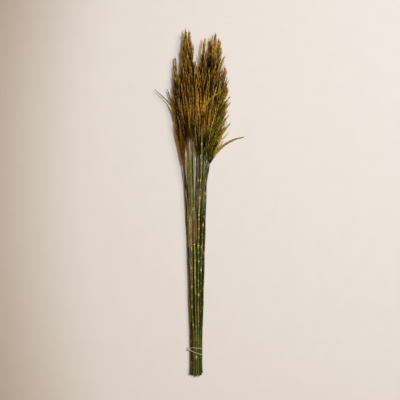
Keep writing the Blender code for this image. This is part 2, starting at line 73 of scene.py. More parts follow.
# %% Place the camera
CAMERA_HEIGHT = 2.5
VIEW_WIDTH = 0.922
VIEW_CENTRE = (0.0023, 0.0035)
SENSOR = 36.0


def place_object(name, data):
    """A new object that shows the data in the scene."""
    thing = bpy.data.objects.new(name, data)
    bpy.context.scene.collection.objects.link(thing)
    return thing


camera = place_object("camera", bpy.data.cameras.new("camera"))
camera.location = (*VIEW_CENTRE, CAMERA_HEIGHT)
camera.data.sensor_width = SENSOR
camera.data.lens = SENSOR * CAMERA_HEIGHT / VIEW_WIDTH
bpy.context.scene.camera = camera
print("lens:", round(camera.data.lens, 1), "mm")

# %% [markdown]
# ## Light
# The shadows in the photograph are soft and deep, and they fall to the left, so the main light is a
# spot lamp with a soft edge, high at the right. The floor darkens and warms towards the left edge,
# where the lamp's cone ends and only a broad warm sun from the same side is left. A warm ceiling
# light straight above reaches between the plumes, and a faint warm world fills the rest. Colours
# are shown with the Standard view transform.

# %% Set up the lamp, the warm sun, the ceiling light and the room light
ROOM_LIGHT = (0.050, 0.031, 0.014)
CEILING_COLOUR, CEILING_STRENGTH, CEILING_BREADTH = (1.000, 0.605, 0.235), 0.550, math.radians(10.0)
SUN_COLOUR, SUN_STRENGTH, SUN_BREADTH = (1.000, 0.870, 0.776), 0.838, math.radians(20.0)
SUN_BEARING, SUN_ELEVATION = math.radians(20.0), math.radians(52.0)
LAMP_COLOUR, LAMP_POWER, LAMP_RADIUS = (0.812, 0.909, 1.000), 147.0, 0.17
LAMP_DISTANCE, LAMP_BEARING, LAMP_ELEVATION = 2.303, math.radians(34.0), math.radians(69.96)
LAMP_AIM, LAMP_HALF_CONE, LAMP_EDGE = Vector((1.2206, 0.1392, 0.0)), math.radians(42.065), 0.0834
# A sun shines from everywhere, so its distance only has to be some length
SUN_DISTANCE = 3.0


def from_above(bearing, elevation):
    """The direction towards a light at this bearing from the right and this height."""
    level = math.cos(elevation)
    return Vector((level * math.cos(bearing), level * math.sin(bearing), math.sin(elevation)))


def add_light(name, kind, place, aim, **settings):
    light = place_object(name, bpy.data.lights.new(name, kind))
    light.location = place
    light.rotation_mode = "QUATERNION"
    light.rotation_quaternion = (aim - place).to_track_quat("-Z", "Y")
    for setting, value in settings.items():
        setattr(light.data, setting, value)


world = bpy.data.worlds.new("room")
world.use_nodes = True
world.node_tree.nodes["Background"].inputs["Color"].default_value = (*ROOM_LIGHT, 1.0)
bpy.context.scene.world = world
bpy.context.scene.view_settings.view_transform = "Standard"
middle = Vector((0.0, 0.0, 0.0))
add_light(
    "lamp", "SPOT", LAMP_DISTANCE * from_above(LAMP_BEARING, LAMP_ELEVATION), LAMP_AIM, color=LAMP_COLOUR,
    energy=LAMP_POWER, shadow_soft_size=LAMP_RADIUS, spot_size=2 * LAMP_HALF_CONE, spot_blend=LAMP_EDGE,
)
add_light("sun", "SUN", SUN_DISTANCE * from_above(SUN_BEARING, SUN_ELEVATION), middle,
          color=SUN_COLOUR, energy=SUN_STRENGTH, angle=SUN_BREADTH)
add_light("ceiling", "SUN", SUN_DISTANCE * Vector(UP), middle,
          color=CEILING_COLOUR, energy=CEILING_STRENGTH, angle=CEILING_BREADTH)
print("lights:", [light.name for light in bpy.data.lights])

# %% [markdown]
# ## Shader groups
# Every dry part of a reed shows the same few effects: fibres that run its length, weathered
# patches, and a tone that differs from strand to strand. Each effect is a node group, made once
# and used in many materials with other values. The groups and materials read marks that the meshes
# carry: grain, the place on the strand itself in millimetres; tone, a number for the whole strand;
# tip, from 0 at its root to 1 at its point; hue, how much of a second colour a strand takes; and
# depth, how open a place is to light, from 0 in the heart of a plume to 1 at its outside, which
# sets the painted shade there.

# %% Helpers that build node trees
def add_node(tree, kind, settings=None, **inputs):
    """A node whose inputs are values or other nodes' sockets, named with _ for each space."""
    node = tree.nodes.new(kind)
    for name, value in (settings or {}).items():
        setattr(node, name, value)
    for name, value in inputs.items():
        key = name.replace("_", " ")
        socket = node.inputs[key] if key in node.inputs else node.inputs[int(name[1:])]
        if isinstance(value, bpy.types.NodeSocket):
            tree.links.new(value, socket)
        else:
            socket.default_value = value
    return node


def math_node(tree, operation, first, second=0.0, clamp=False):
    settings = {"operation": operation, "use_clamp": clamp}
    return add_node(tree, "ShaderNodeMath", settings, _0=first, _1=second).outputs[0]


def mix_colours(tree, share, first, second, blend="MIX"):
    settings = {"data_type": "RGBA", "blend_type": blend, "clamp_factor": True}
    return add_node(tree, "ShaderNodeMix", settings, _0=share, _6=first, _7=second).outputs[2]


def stretch(tree, value, low, high, to_low=0.0, to_high=1.0):
    """The value, spread so that low becomes to_low and high becomes to_high."""
    settings = {"interpolation_type": "SMOOTHSTEP"}
    ends = {"From_Min": low, "From_Max": high, "To_Min": to_low, "To_Max": to_high}
    return add_node(tree, "ShaderNodeMapRange", settings, Value=value, **ends).outputs[0]


def read_mark(tree, name, output="Fac"):
    return add_node(tree, "ShaderNodeAttribute", {"attribute_name": name}).outputs[output]


def new_group(name, inputs, *outputs):
    """A group, its given sockets and its results. Colours are tuples, and the output Color is one."""
    group = bpy.data.node_groups.new(name, "ShaderNodeTree")
    for label, value in inputs.items():
        kind = "NodeSocketColor" if isinstance(value, tuple) else "NodeSocketFloat"
        group.interface.new_socket(label, in_out="INPUT", socket_type=kind).default_value = value
    for label in outputs:
        kind = "NodeSocketColor" if label == "Color" else "NodeSocketFloat"
        group.interface.new_socket(label, in_out="OUTPUT", socket_type=kind)
    given, result = group.nodes.new("NodeGroupInput"), group.nodes.new("NodeGroupOutput")
    return group, [given.outputs[label] for label in inputs], result.inputs


def use_group(tree, group, **values):
    return add_node(tree, "ShaderNodeGroup", {"node_tree": group}, **values).outputs


def tone_inputs(tones):
    return {name: (*tone, 1.0) for name, tone in zip(("Dark", "Middle", "Pale"), tones)}


# %% [markdown]
# ### Fibres, patches, tones and painted shade
# Fibres are noise that is squeezed across the strand and drawn out along it. It is read at the
# strand's own place, not at the place in the room, so the fibres follow every bend. Patches are
# larger soft noise in the room's space. The tone group then turns one mask into a colour between
# a dark, a middle and a pale one, which is how dry plant colour really varies. The last group is
# painted shade: it darkens the strands that lie deep inside a plume, where the plume shades itself.

# %% Build the shared groups
FIBRE_EDGES, PATCH_EDGES, PAINTED_SHADE_EDGES = (0.30, 0.70), (0.34, 0.66), (0.28, 0.95)


def fibre_group():
    group, (across, along), result = new_group("lengthwise_fibres", {"Across": 2.0, "Along": 0.03}, "Mask")
    squeeze = add_node(group, "ShaderNodeCombineXYZ", X=across, Y=across, Z=along).outputs[0]
    grain = read_mark(group, "grain", "Vector")
    settings = {"operation": "MULTIPLY"}
    place = add_node(group, "ShaderNodeVectorMath", settings, _0=grain, _1=squeeze).outputs[0]
    noise = add_node(group, "ShaderNodeTexNoise", Vector=place, Scale=1.0, Detail=3.0, Roughness=0.6)
    group.links.new(stretch(group, noise.outputs[0], *FIBRE_EDGES), result[0])
    return group


def patch_group():
    group, (per_metre,), result = new_group("weathered_patches", {"Per Metre": 60.0}, "Mask")
    place = add_node(group, "ShaderNodeTexCoord").outputs["Object"]
    noise = add_node(group, "ShaderNodeTexNoise", Vector=place, Scale=per_metre, Detail=2.0, Roughness=0.5)
    group.links.new(stretch(group, noise.outputs[0], *PATCH_EDGES), result[0])
    return group


def tone_group():
    inputs = {"Mask": 0.5, **tone_inputs(([0.1] * 3, [0.3] * 3, [0.6] * 3))}
    group, (mask, dark, middle, pale), result = new_group("three_tones", inputs, "Color")
    lower = mix_colours(group, stretch(group, mask, 0.0, 0.5), dark, middle)
    group.links.new(mix_colours(group, stretch(group, mask, 0.5, 1.0), lower, pale), result[0])
    return group


def painted_shade_group():
    """Painted shade: darkens the colour towards the heart of the plume, by the mark depth."""
    inputs = {"Color": (0.5, 0.5, 0.5, 1.0), "Darkest": 0.25}
    group, (colour, darkest), result = new_group("painted_heart_shade", inputs, "Color")
    open_share = stretch(group, read_mark(group, "depth"), *PAINTED_SHADE_EDGES)
    left = math_node(group, "SUBTRACT", 1.0, darkest)
    kept = math_node(group, "ADD", darkest, math_node(group, "MULTIPLY", open_share, left))
    grey = add_node(group, "ShaderNodeCombineColor", Red=kept, Green=kept, Blue=kept).outputs[0]
    group.links.new(mix_colours(group, 1.0, colour, grey, "MULTIPLY"), result[0])
    return group


FIBRES, PATCHES, TONES, PAINTED_SHADE = fibre_group(), patch_group(), tone_group(), painted_shade_group()
print("groups:", [group.name for group in bpy.data.node_groups])

# %% [markdown]
# ### Rings at the joints
# On the real culm each joint is a swollen ring, golden and paler than the stalk, with a thin dark
# scar under it where the leaf sheath sat, and a pale bloom above and below. The mesh carries a
# mark called joint, the distance to the nearest joint in millimetres, and another called glow,
# which says how bright that joint is. The group paints the rings from those two.

# %% Build the joint group
RING, RING_EDGES = (0.80, 0.53, 0.13, 1.0), (1.9, 1.0)
SCAR, SCAR_BELOW, SCAR_EDGES, SCAR_SHARE = (0.030, 0.022, 0.008, 1.0), 2.1, (0.9, 0.3), 0.85
BLOOM, BLOOM_EDGES, BLOOM_SHARE = (0.36, 0.32, 0.075, 1.0), (9.0, 2.0), 0.75


def joint_group():
    colours = {"Stalk": (0.1, 0.1, 0.1, 1.0), "Ring": RING, "Scar": SCAR, "Bloom": BLOOM}
    group, (stalk, ring, scar, bloom), result = new_group("joint_rings", colours, "Color", "Mask")
    away = read_mark(group, "joint")
    distance = math_node(group, "ABSOLUTE", away)
    glow = read_mark(group, "glow")
    near = math_node(group, "MULTIPLY", stretch(group, distance, *BLOOM_EDGES), glow)
    bloomed = mix_colours(group, math_node(group, "MULTIPLY", near, BLOOM_SHARE), stalk, bloom)
    below = math_node(group, "ABSOLUTE", math_node(group, "ADD", away, SCAR_BELOW))
    scarred = mix_colours(group, stretch(group, below, *SCAR_EDGES, 0.0, SCAR_SHARE), bloomed, scar)
    on_ring = math_node(group, "MULTIPLY", stretch(group, distance, *RING_EDGES), glow)
    group.links.new(mix_colours(group, on_ring, scarred, ring), result[0])
    group.links.new(on_ring, result[1])
    return group


JOINT_RINGS = joint_group()
print("joint rings read the marks joint and glow")

# %% [markdown]
# ## Materials
# Every finish starts from the same recipe. A mask is mixed from the strand's own tone, its fibres
# and the weathered patches, and the tone group colours it. The fibres also press a shallow bump
# into the surface and vary its roughness a little. What is the same all over, such as sheen, is
# set on the shader itself.

# %% The recipe that the dry finishes share
BUMP_STRENGTH, DRY_SHEEN, PAPER_SHEEN = 0.6, 0.2, 0.05
ROUGHER_VALLEYS, SMOOTHER_RIDGES = 0.10, 0.08


def new_material(name):
    material = bpy.data.materials.new(name)
    material.use_nodes = True
    return material, material.node_tree, material.node_tree.nodes["Principled BSDF"]


def set_finish(tree, shader, colour, roughness, height, strength, relief, sheen):
    """Feeds the shader: its colour, its roughness, a bump of this height, and an even sheen."""
    tree.links.new(colour, shader.inputs["Base Color"])
    tree.links.new(roughness, shader.inputs["Roughness"])
    bump = add_node(tree, "ShaderNodeBump", Strength=strength, Distance=relief, Height=height)
    tree.links.new(bump.outputs[0], shader.inputs["Normal"])
    shader.inputs["Specular IOR Level"].default_value = sheen


def dry_material(name, tones, across, along, patches, shares, rough, relief, tip_share=0.0):
    """A material, its shader and its colour. shares are those of tone, fibres and patches in the mask."""
    material, tree, shader = new_material(name)
    fibres = use_group(tree, FIBRES, Across=across, Along=along)[0]
    blotches = use_group(tree, PATCHES, Per_Metre=patches)[0]
    sources = (read_mark(tree, "tone"), fibres, blotches)
    weighed = [math_node(tree, "MULTIPLY", source, share) for source, share in zip(sources, shares)]
    mask = math_node(tree, "ADD", math_node(tree, "ADD", *weighed[:2]), weighed[2])
    if tip_share:
        paler = math_node(tree, "SUBTRACT", read_mark(tree, "tip"), 0.5)
        mask = math_node(tree, "ADD", mask, math_node(tree, "MULTIPLY", paler, tip_share), clamp=True)
    colour = use_group(tree, TONES, Mask=mask, **tone_inputs(tones))[0]
    roughness = stretch(tree, fibres, 0.0, 1.0, rough + ROUGHER_VALLEYS, rough - SMOOTHER_RIDGES)
    set_finish(tree, shader, colour, roughness, fibres, BUMP_STRENGTH, relief, DRY_SHEEN)
    return material, shader, colour


# %% [markdown]
# ### Culms
# The stalks are straw with a faint gloss, in four colours. Most are dark or olive green, a few have
# bleached to yellow or dried to tan, and the tone mark makes some internodes paler than others.
# The lower rows are painted darker, as shade, and the top row a little paler, as light.

# %% Colour the culms
CULM_COLOURS = {
    "culm_green": ((0.006, 0.011, 0.003), (0.026, 0.043, 0.007), (0.085, 0.112, 0.016)),
    "culm_olive": ((0.012, 0.014, 0.004), (0.054, 0.056, 0.010), (0.165, 0.150, 0.032)),
    "culm_yellow": ((0.022, 0.032, 0.004), (0.105, 0.128, 0.012), (0.360, 0.370, 0.045)),
    "culm_tan": ((0.045, 0.027, 0.011), (0.140, 0.088, 0.034), (0.310, 0.215, 0.105)),
}
CULM_RECIPE = {
    "across": 2.4, "along": 0.035, "patches": 45.0, "shares": (0.70, 0.18, 0.12),
    "rough": 0.45, "relief": 0.00006,
}


def culm_material(name):
    material, shader, colour = dry_material(name, CULM_COLOURS[name], **CULM_RECIPE)
    tree = material.node_tree
    tree.links.new(use_group(tree, JOINT_RINGS, Stalk=colour)[0], shader.inputs["Base Color"])
    return material


CULM_MATERIALS = {name: culm_material(name) for name in CULM_COLOURS}
print("culm finishes:", list(CULM_MATERIALS))

# %% [markdown]
# ### Plumes, sheaths, cut ends and string
# Spikelets are dull and papery, and their points are paler than their roots. Each plume has a main
# colour, brown, gold or olive, and a second one that takes over on some of its branches, where the
# mark hue is high. So the plumes at the left are brown at the foot and olive above, and those at
# the right are olive at the foot and brown above. The thin branches are greener. Plumes and branches
# are darker towards the heart of each plume, which is painted shade. A dried leaf sheath is tan with
# clear veins. The cut wall of a culm is pale, and its hollow is painted dark, as shade.

# %% Colour the rest
BROWN = ((0.055, 0.023, 0.004), (0.420, 0.186, 0.020), (0.800, 0.420, 0.060))
GOLD = ((0.080, 0.042, 0.005), (0.640, 0.375, 0.030), (0.930, 0.640, 0.080))
OLIVE = ((0.030, 0.028, 0.004), (0.330, 0.272, 0.024), (0.690, 0.560, 0.070))
PLUME_COLOURS = {
    "plume_brown": (BROWN, GOLD), "plume_gold": (GOLD, BROWN), "plume_olive": (OLIVE, BROWN),
    "plume_left": (OLIVE, BROWN), "plume_right": (BROWN, OLIVE),
}
PAPERY = {"across": 3.0, "along": 0.25, "patches": 30.0, "shares": (0.70, 0.14, 0.16), "rough": 0.75}
# Dark, middle and pale tones, fibres across and along, patches a metre, shares, roughness and relief
TRIM = {
    "leaf_sheath": (
        ((0.075, 0.040, 0.013), (0.210, 0.125, 0.042), (0.390, 0.265, 0.115)),
        3.2, 0.02, 60.0, (0.35, 0.40, 0.25), 0.70, 0.0001,
    ),
    "cut_wall": (
        ((0.220, 0.160, 0.070), (0.500, 0.400, 0.200), (0.720, 0.620, 0.400)),
        5.0, 0.50, 400.0, (0.30, 0.45, 0.25), 0.85, 0.00008,
    ),
    # The hollow inside a cut culm is painted dark, as shade
    "hollow_shade": (
        ((0.020, 0.015, 0.008), (0.080, 0.060, 0.028), (0.160, 0.120, 0.060)),
        2.0, 0.10, 200.0, (0.30, 0.40, 0.30), 0.90, 0.00005,
    ),
    "string": (
        ((0.480, 0.420, 0.300), (0.760, 0.700, 0.560), (0.900, 0.860, 0.740)),
        9.0, 0.60, 250.0, (0.25, 0.50, 0.25), 0.88, 0.00012,
    ),
}


def plume_material(name, main, other, darkest, relief, tip_share):
    """A dry material whose branches take the main tones or, where the mark hue is high, the other ones."""
    material, shader, colour = dry_material(name, main, relief=relief, tip_share=tip_share, **PAPERY)
    tree = material.node_tree
    mask = colour.node.inputs["Mask"].links[0].from_socket
    second = use_group(tree, TONES, Mask=mask, **tone_inputs(other))[0]
    mixed = mix_colours(tree, read_mark(tree, "hue"), colour, second)
    # Painted shade: the colour is darkened towards the plume's heart, down to darkest
    tree.links.new(use_group(tree, PAINTED_SHADE, Color=mixed, Darkest=darkest)[0], shader.inputs["Base Color"])
    shader.inputs["Specular IOR Level"].default_value = PAPER_SHEEN
    return material


# darkest is how dark the painted shade gets in the heart of a plume or of its branches
PLUME_MATERIALS = {
    name: plume_material(name, *tones, darkest=0.10, relief=0.00005, tip_share=0.45)
    for name, tones in PLUME_COLOURS.items()
}
BRANCH = plume_material("branch", OLIVE, BROWN, darkest=0.25, relief=0.00003, tip_share=0.0)
SHEATH, PITH, HOLLOW_SHADE, STRING = (dry_material(name, *recipe)[0] for name, recipe in TRIM.items())
print("plume finishes:", list(PLUME_MATERIALS))

# %% [markdown]
# ## Floor
# A large pale sheet lies under the bundle. Its colour is nearly even, with the faint mottling and
# tooth of plaster. The floor belongs to the scene and not to the object, so it is marked as stage.

# %% Lay the floor
FLOOR_COLOURS = ((0.815, 0.785, 0.746, 1.0), (0.825, 0.795, 0.756, 1.0))
FLOOR_HALF = 4.0
MOTTLING_PER_METRE, TOOTH_PER_METRE = 22.0, 420.0
FLOOR_ROUGHNESS, FLOOR_SHEEN = (0.86, 0.96), 0.1
FLOOR_BUMP, FLOOR_RELIEF = 0.15, 0.0004

floor_mesh = bpy.data.meshes.new("floor")
corners = [(x * FLOOR_HALF, y * FLOOR_HALF, 0) for x, y in ((-1, -1), (1, -1), (1, 1), (-1, 1))]
floor_mesh.from_pydata(corners, [], [(0, 1, 2, 3)])
plaster, tree, shader = new_material("plaster")
mottling = use_group(tree, PATCHES, Per_Metre=MOTTLING_PER_METRE)[0]
tooth = use_group(tree, PATCHES, Per_Metre=TOOTH_PER_METRE)[0]
colour = mix_colours(tree, mottling, *FLOOR_COLOURS)
roughness = stretch(tree, tooth, 0.0, 1.0, *FLOOR_ROUGHNESS)
set_finish(tree, shader, colour, roughness, tooth, FLOOR_BUMP, FLOOR_RELIEF, FLOOR_SHEEN)
floor_mesh.materials.append(plaster)
floor = place_object("floor", floor_mesh)
floor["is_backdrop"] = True
print("floor:", 2 * FLOOR_HALF, "m square")

# %% [markdown]
# ## One tool for every strand
# Culms, branches, spikelets, awns and string are all the same kind of body: a closed tube with a
# changing radius. One function makes thousands of them at a time as arrays, which is far quicker
# than adding them one by one with operators. A second one joins such parts into one real mesh with
# its materials and marks, because particles and instances wouldn't survive an export.

# %% Tubes along lines
# The fibres' place is moved on from tube to tube, so that no two tubes look the same
GRAIN_SHIFT = (3.7, 5.3, 11.9)


def unit(vectors):
    return vectors / np.maximum(np.linalg.norm(vectors, axis=-1, keepdims=True), 1e-12)


def with_ends(values):
    """The values with the first and the last one given twice."""
    return np.concatenate([values[:1], values, values[-1:]])


def tubes(lines, radii, sides, across=UP, directions=None, material=0, **marks):
    """Closed tubes along (tube, station, 3) lines. End stations are points, the others rings.

    marks are (tube, station) arrays, and each is carried to the vertices of its station.
    """
    lines = np.asarray(lines, float)
    count, stations = lines.shape[:2]
    radii = np.broadcast_to(radii, (count, stations))
    directions = unit(np.gradient(lines, axis=1) if directions is None else directions)
    level = unit(np.cross(directions, across))
    upward = np.cross(level, directions)
    angles = 2 * math.pi * np.arange(sides) / sides
    wheel = np.stack([np.cos(angles), np.sin(angles)], axis=-1)
    spokes = wheel[:, :1] * level[:, 1:-1, None] + wheel[:, 1:] * upward[:, 1:-1, None]
    rings = lines[:, 1:-1, None] + radii[:, 1:-1, None, None] * spokes
    points = np.concatenate([lines[:, :1], rings.reshape(count, -1, 3), lines[:, -1:]], axis=1)

    length = np.linalg.norm(np.diff(lines, axis=1), axis=2).cumsum(axis=1)
    length = np.concatenate([np.zeros((count, 1)), length], axis=1)
    station = np.concatenate([[0], np.repeat(np.arange(1, stations - 1), sides), [stations - 1]])
    turns = np.concatenate([[[0.0, 0.0]], np.tile(wheel, (stations - 2, 1)), [[0.0, 0.0]]])
    grain = np.concatenate([radii[:, station, None] * turns, length[:, station, None]], axis=2) / MM
    grain += np.arange(count)[:, None, None] * GRAIN_SHIFT

    i = np.arange(sides)
    j = (i + 1) % sides
    low = 1 + sides * np.arange(stations - 3)[:, None]
    quads = np.stack([low + i, low + sides + i, low + sides + j, low + j], axis=-1).reshape(-1, 4)
    last = 1 + sides * (stations - 3)
    pole = np.zeros(sides, int)
    ends = np.concatenate([
        np.stack([pole, 1 + i, 1 + j], axis=-1),
        np.stack([last + j, last + i, pole + last + sides], axis=-1),
    ])
    shift = np.arange(count)[:, None, None] * points.shape[1]
    part = {
        "points": points.reshape(-1, 3),
        "quads": (quads + shift).reshape(-1, 4),
        "tris": (ends + shift).reshape(-1, 3),
        "material": material,
        "grain": grain.reshape(-1, 3),
    }
    for name, values in marks.items():
        part[name] = np.broadcast_to(values, (count, stations))[:, station].ravel()
    return part


def quad_part(points, quads, grain, tone, material=0):
    """A part that is made of quads alone."""
    return {
        "points": points, "quads": quads, "tris": np.zeros((0, 3), int), "material": material,
        "grain": grain, "tone": tone,
    }


# %% Join parts into one piece
MARKS = ("grain", "tone", "hue", "tip", "depth", "joint", "glow")


def make_piece(name, parts, materials, nodes):
    """One smooth mesh object from parts, which rides on the root body and stands for the nodes."""
    starts = np.cumsum([0] + [len(part["points"]) for part in parts])
    points = np.concatenate([part["points"] for part in parts])
    corners, sizes, indices = [], [], []
    for key, size in (("quads", 4), ("tris", 3)):
        for part, start in zip(parts, starts):
            corners.append((part[key] + start).ravel())
            sizes.append(np.full(len(part[key]), size))
            indices.append(np.full(len(part[key]), part["material"]))
    corners, sizes, indices = (np.concatenate(rows).astype(np.int32) for rows in (corners, sizes, indices))
    mesh = bpy.data.meshes.new(name)
    mesh.vertices.add(len(points))
    mesh.vertices.foreach_set("co", points.astype(np.float32).ravel())
    mesh.loops.add(len(corners))
    mesh.loops.foreach_set("vertex_index", corners)
    mesh.polygons.add(len(sizes))
    mesh.polygons.foreach_set("loop_start", (np.cumsum(sizes) - sizes).astype(np.int32))
    mesh.polygons.foreach_set("material_index", indices)
    mesh.polygons.foreach_set("use_smooth", np.ones(len(sizes), bool))
    mesh.update(calc_edges=True)
    for mark in MARKS:
        kind, field = ("FLOAT_VECTOR", "vector") if mark == "grain" else ("FLOAT", "value")
        values = np.concatenate([part.get(mark, np.zeros(len(part["points"]))) for part in parts])
        attribute = mesh.attributes.new(mark, kind, "POINT")
        attribute.data.foreach_set(field, values.astype(np.float32).ravel())
    for material in materials:
        mesh.materials.append(material)
    piece = place_object(name, mesh)
    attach(piece, "root")
    if nodes:
        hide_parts(*nodes)
    return piece


def triangles_of(piece):
    return sum(len(polygon.vertices) - 2 for polygon in piece.data.polygons)


# %% [markdown]
# ## Where the reeds run
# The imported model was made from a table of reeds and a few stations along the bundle. The same
# table and the same curves are repeated here, so that every fine piece follows the solid that it
# stands for. All reeds are gathered at the string, spread slowly above it, and end in a fan.

# %% Stations and reeds
BUTT_Y, TIE_Y, SPREAD_Y, WAIST_Y = -0.400, -0.3385, -0.227, -0.090
SHOULDER_Y, NECK_Y, MIDDLE_Y = 0.015, 0.085, 0.222
TIE_X = -6.2 * MM
CULM_RADIUS_BUTT, CULM_RADIUS_TOP, CULM_TOP_Y = 1.95 * MM, 1.65 * MM, 0.150
JOINT_RIDGE = 1.13
JOINT_CLEAR_OF_TIE, JOINT_CLEAR_OF_PLUME = 16.0 * MM, 8.0 * MM
LOWEST_JOINT_STRETCH, JOINT_SHORTENING = 1.06, 0.012
ZIGZAG, ZIGZAG_OPENING = 0.35 * MM, 0.12
CULM_PITCH = 4.78 * MM
ROW_RISE = CULM_PITCH * math.sqrt(3) / 2
TIE_GAP, CULM_GAP = 0.35 * MM, 1.0 * MM
SETTLE_STEP, SETTLE_TOP_Y, SETTLE_ROUNDS, SETTLE_SHARE = 0.025, 0.175, 300, 0.3
STATIONS_ABOVE = 7
STRING_RADIUS = 0.70 * MM
STRING_STAND_OFF = CULM_RADIUS_BUTT * JOINT_RIDGE + TIE_GAP + STRING_RADIUS
FLOOR_ROW_Z = STRING_STAND_OFF + STRING_RADIUS
ROW_WAIST_Z = (6.0 * MM, 12.5 * MM, 19.0 * MM)
ROW_SHOULDER_Z = (8.0 * MM, 15.5 * MM, 23.0 * MM)
ROW_NECK_Z = (9.0 * MM, 18.0 * MM, 27.0 * MM)
ROW_MIDDLE_Z = (11.0 * MM, 22.0 * MM, 33.0 * MM)
SPREAD_SHARE = 0.45
OWN_SPREAD_SHARE = {"reed_12": 0.8, "reed_15": 0.0}

# In millimetres. slot is the row and the pitches from the middle of the tied bundle, base the foot
# of the plume, joint and first are the spacing and the start of the joints, butt sets the cut end
# back. The rows leave out the names, because the reeds are numbered in order
Reed = namedtuple("Reed", "name slot waist shoulder neck middle lift tip base joint first butt finish plume")
REED_ROWS = (
    ((0, -2.0), -25.8, -31, -34, -43, -1, (-43, 280, 9), 92, 52, 26, 2, "olive", "brown"),
    ((0, -1.0), -12.5, -13.5, -14.5, -20, 1, (-17, 350, 9), 130, 47, 38, 4, "green", "brown"),
    ((0, 0.0), -5, -2, 1.8, -2, 0, (2, 324, 8), 98, 55, 20, 1, "green", "brown"),
    ((0, 1.0), 3, 4, 7, 15, 1, (25, 374, 9), 112, 44, 32, 3, "olive", "olive"),
    ((0, 2.0), 11, 14, 23.5, 53, -1, (62, 270, 9), 80, 50, 14, 5, "green", "olive"),
    ((1, -2.5), -23.6, -26.5, -35.7, -49, -2, (-54, 330, 14), 72, 46, 30, 3, "green", "olive"),
    ((1, -1.5), -19, -21.5, -24.8, -36, 2, (-35, 355, 18), 135, 50, 18, 2, "tan", "brown"),
    ((1, -0.5), -6.5, -7.5, -5.2, -8, 0, (-8, 318, 19), 128, 45, 36, 0, "green", "gold"),
    ((1, 0.5), -1.6, -2.8, -0.8, 2, 3, (7, 338, 22), 96, 40, 10, 4, "tan", "brown"),
    ((1, 1.5), 5, 8.5, 10, 35, 0, (45, 375, 16), 116, 49, 28, 1, "olive", "olive"),
    ((1, 2.5), 12.5, 15.5, 18.5, 46, 2, (60, 309, 17), 88, 51, 40, 6, "green", "gold"),
    ((2, -1.0), -17.8, -22.6, -25.6, -28, -1, (-30.5, 394, 22), 128, 43, 22, 3, "yellow", "brown"),
    ((2, 0.0), -10.5, -15.7, -18.7, -14, 1, (-23, 391, 24), 141, 38, 33, 0, "yellow", "brown"),
    ((2, 1.0), -1.2, 1.8, 5.8, 7, 2, (12.5, 372, 25), 169, 38, 19, 1, "yellow", "gold"),
    ((2, 2.0), 6, 14.3, 15, 22, 0, (37, 387, 23), 121, 48, 36, 2, "green", "gold"),
)
REEDS = [Reed(f"reed_{number:02d}", *row) for number, row in enumerate(REED_ROWS, 1)]
REED_NAMED = {reed.name: reed for reed in REEDS}
SEEN_JOINTS = {
    "reed_01": (-362, -295, -252, -209, -166, -123, -81, -46, -11, 23),
    "reed_09": (-362, -312, -272, -232, -192, -152, -112, -72, -32, 8, 48),
    "reed_11": (-358, -290, -244, -200, -158, -119, -79, -38, 2, 43),
    "reed_12": (-362, -320, -283, -241, -195, -152, -109, -71, -33, 5, 43, 84),
    "reed_13": (-357, -319, -288, -250, -212, -174, -136, -98, -58, -18, 24, 69, 111),
    "reed_14": (-360, -307, -274, -244, -214, -182, -137, -101, -63, -31, 8, 48, 86, 131),
    "reed_15": (-360, -298, -252, -205, -157, -104, -54, -18, 18, 48, 84),
}
print("reeds:", len(REEDS))

# %% [markdown]
# The middle line of each reed goes through its own stations on a curve that never overshoots. The
# culms are round and can't share a place, so at every few centimetres those that are too close are
# pushed apart, a little in each round, until all fit.

# %% Follow the reeds
def smooth_through(stations, values, y):
    """A curve through the values that never overshoots between two stations (Fritsch and Carlson)."""
    s, v, y = (np.asarray(a, float) for a in (stations, values, y))
    step = np.diff(s)
    slope = np.diff(v) / step
    tangent = np.empty(len(s))
    tangent[0], tangent[-1] = slope[0], slope[-1]
    for i in range(1, len(s) - 1):
        before, after = slope[i - 1], slope[i]
        weights = 2 * step[i] + step[i - 1], step[i] + 2 * step[i - 1]
        level = before * after <= 0
        tangent[i] = 0 if level else sum(weights) / (weights[0] / before + weights[1] / after)
    i = np.clip(np.searchsorted(s, y) - 1, 0, len(s) - 2)
    t = (y - s[i]) / step[i]
    low = v[i] * (1 + 2 * t) * (1 - t) ** 2 + tangent[i] * step[i] * t * (1 - t) ** 2
    return low + v[i + 1] * t * t * (3 - 2 * t) + tangent[i + 1] * step[i] * t * t * (t - 1)


def culm_radius(y):
    share = np.clip((np.asarray(y, float) - BUTT_Y) / (CULM_TOP_Y - BUTT_Y), 0, 1)
    return CULM_RADIUS_BUTT + (CULM_RADIUS_TOP - CULM_RADIUS_BUTT) * share


def tie_place(reed):
    row, pitches = reed.slot
    return TIE_X + pitches * CULM_PITCH, FLOOR_ROW_Z + row * ROW_RISE


def wanted_place(reed, y):
    row = reed.slot[0]
    tie_x, tie_z = tie_place(reed)
    tip_x, tip_y, tip_z = (value * MM for value in reed.tip)
    waist, shoulder, neck = reed.waist * MM, reed.shoulder * MM, reed.neck * MM
    stations = (BUTT_Y, TIE_Y, SPREAD_Y, WAIST_Y, SHOULDER_Y, NECK_Y, MIDDLE_Y, tip_y)
    spread = tie_x + OWN_SPREAD_SHARE.get(reed.name, SPREAD_SHARE) * (waist - tie_x)
    x = smooth_through(stations, (tie_x, tie_x, spread, waist, shoulder, neck, reed.middle * MM, tip_x), y)
    rise = tie_z + SPREAD_SHARE * (ROW_WAIST_Z[row] - tie_z)
    heights = (tie_z, tie_z, rise, ROW_WAIST_Z[row], ROW_SHOULDER_Z[row], ROW_NECK_Z[row])
    z = smooth_through(stations, (*heights, ROW_MIDDLE_Z[row] + reed.lift * MM, tip_z), y)
    return np.stack([x, z], axis=-1)


def settle(places, least):
    """Pushes apart the places that are closer together than least."""
    for _ in range(SETTLE_ROUNDS):
        apart = places[:, None] - places[None]
        distance = np.linalg.norm(apart, axis=2)
        np.fill_diagonal(distance, 1.0)
        short = np.clip(least - distance, 0, None)
        if not short.any():
            break
        places = places + (apart / distance[..., None] * short[..., None]).sum(axis=1) * SETTLE_SHARE
    return places


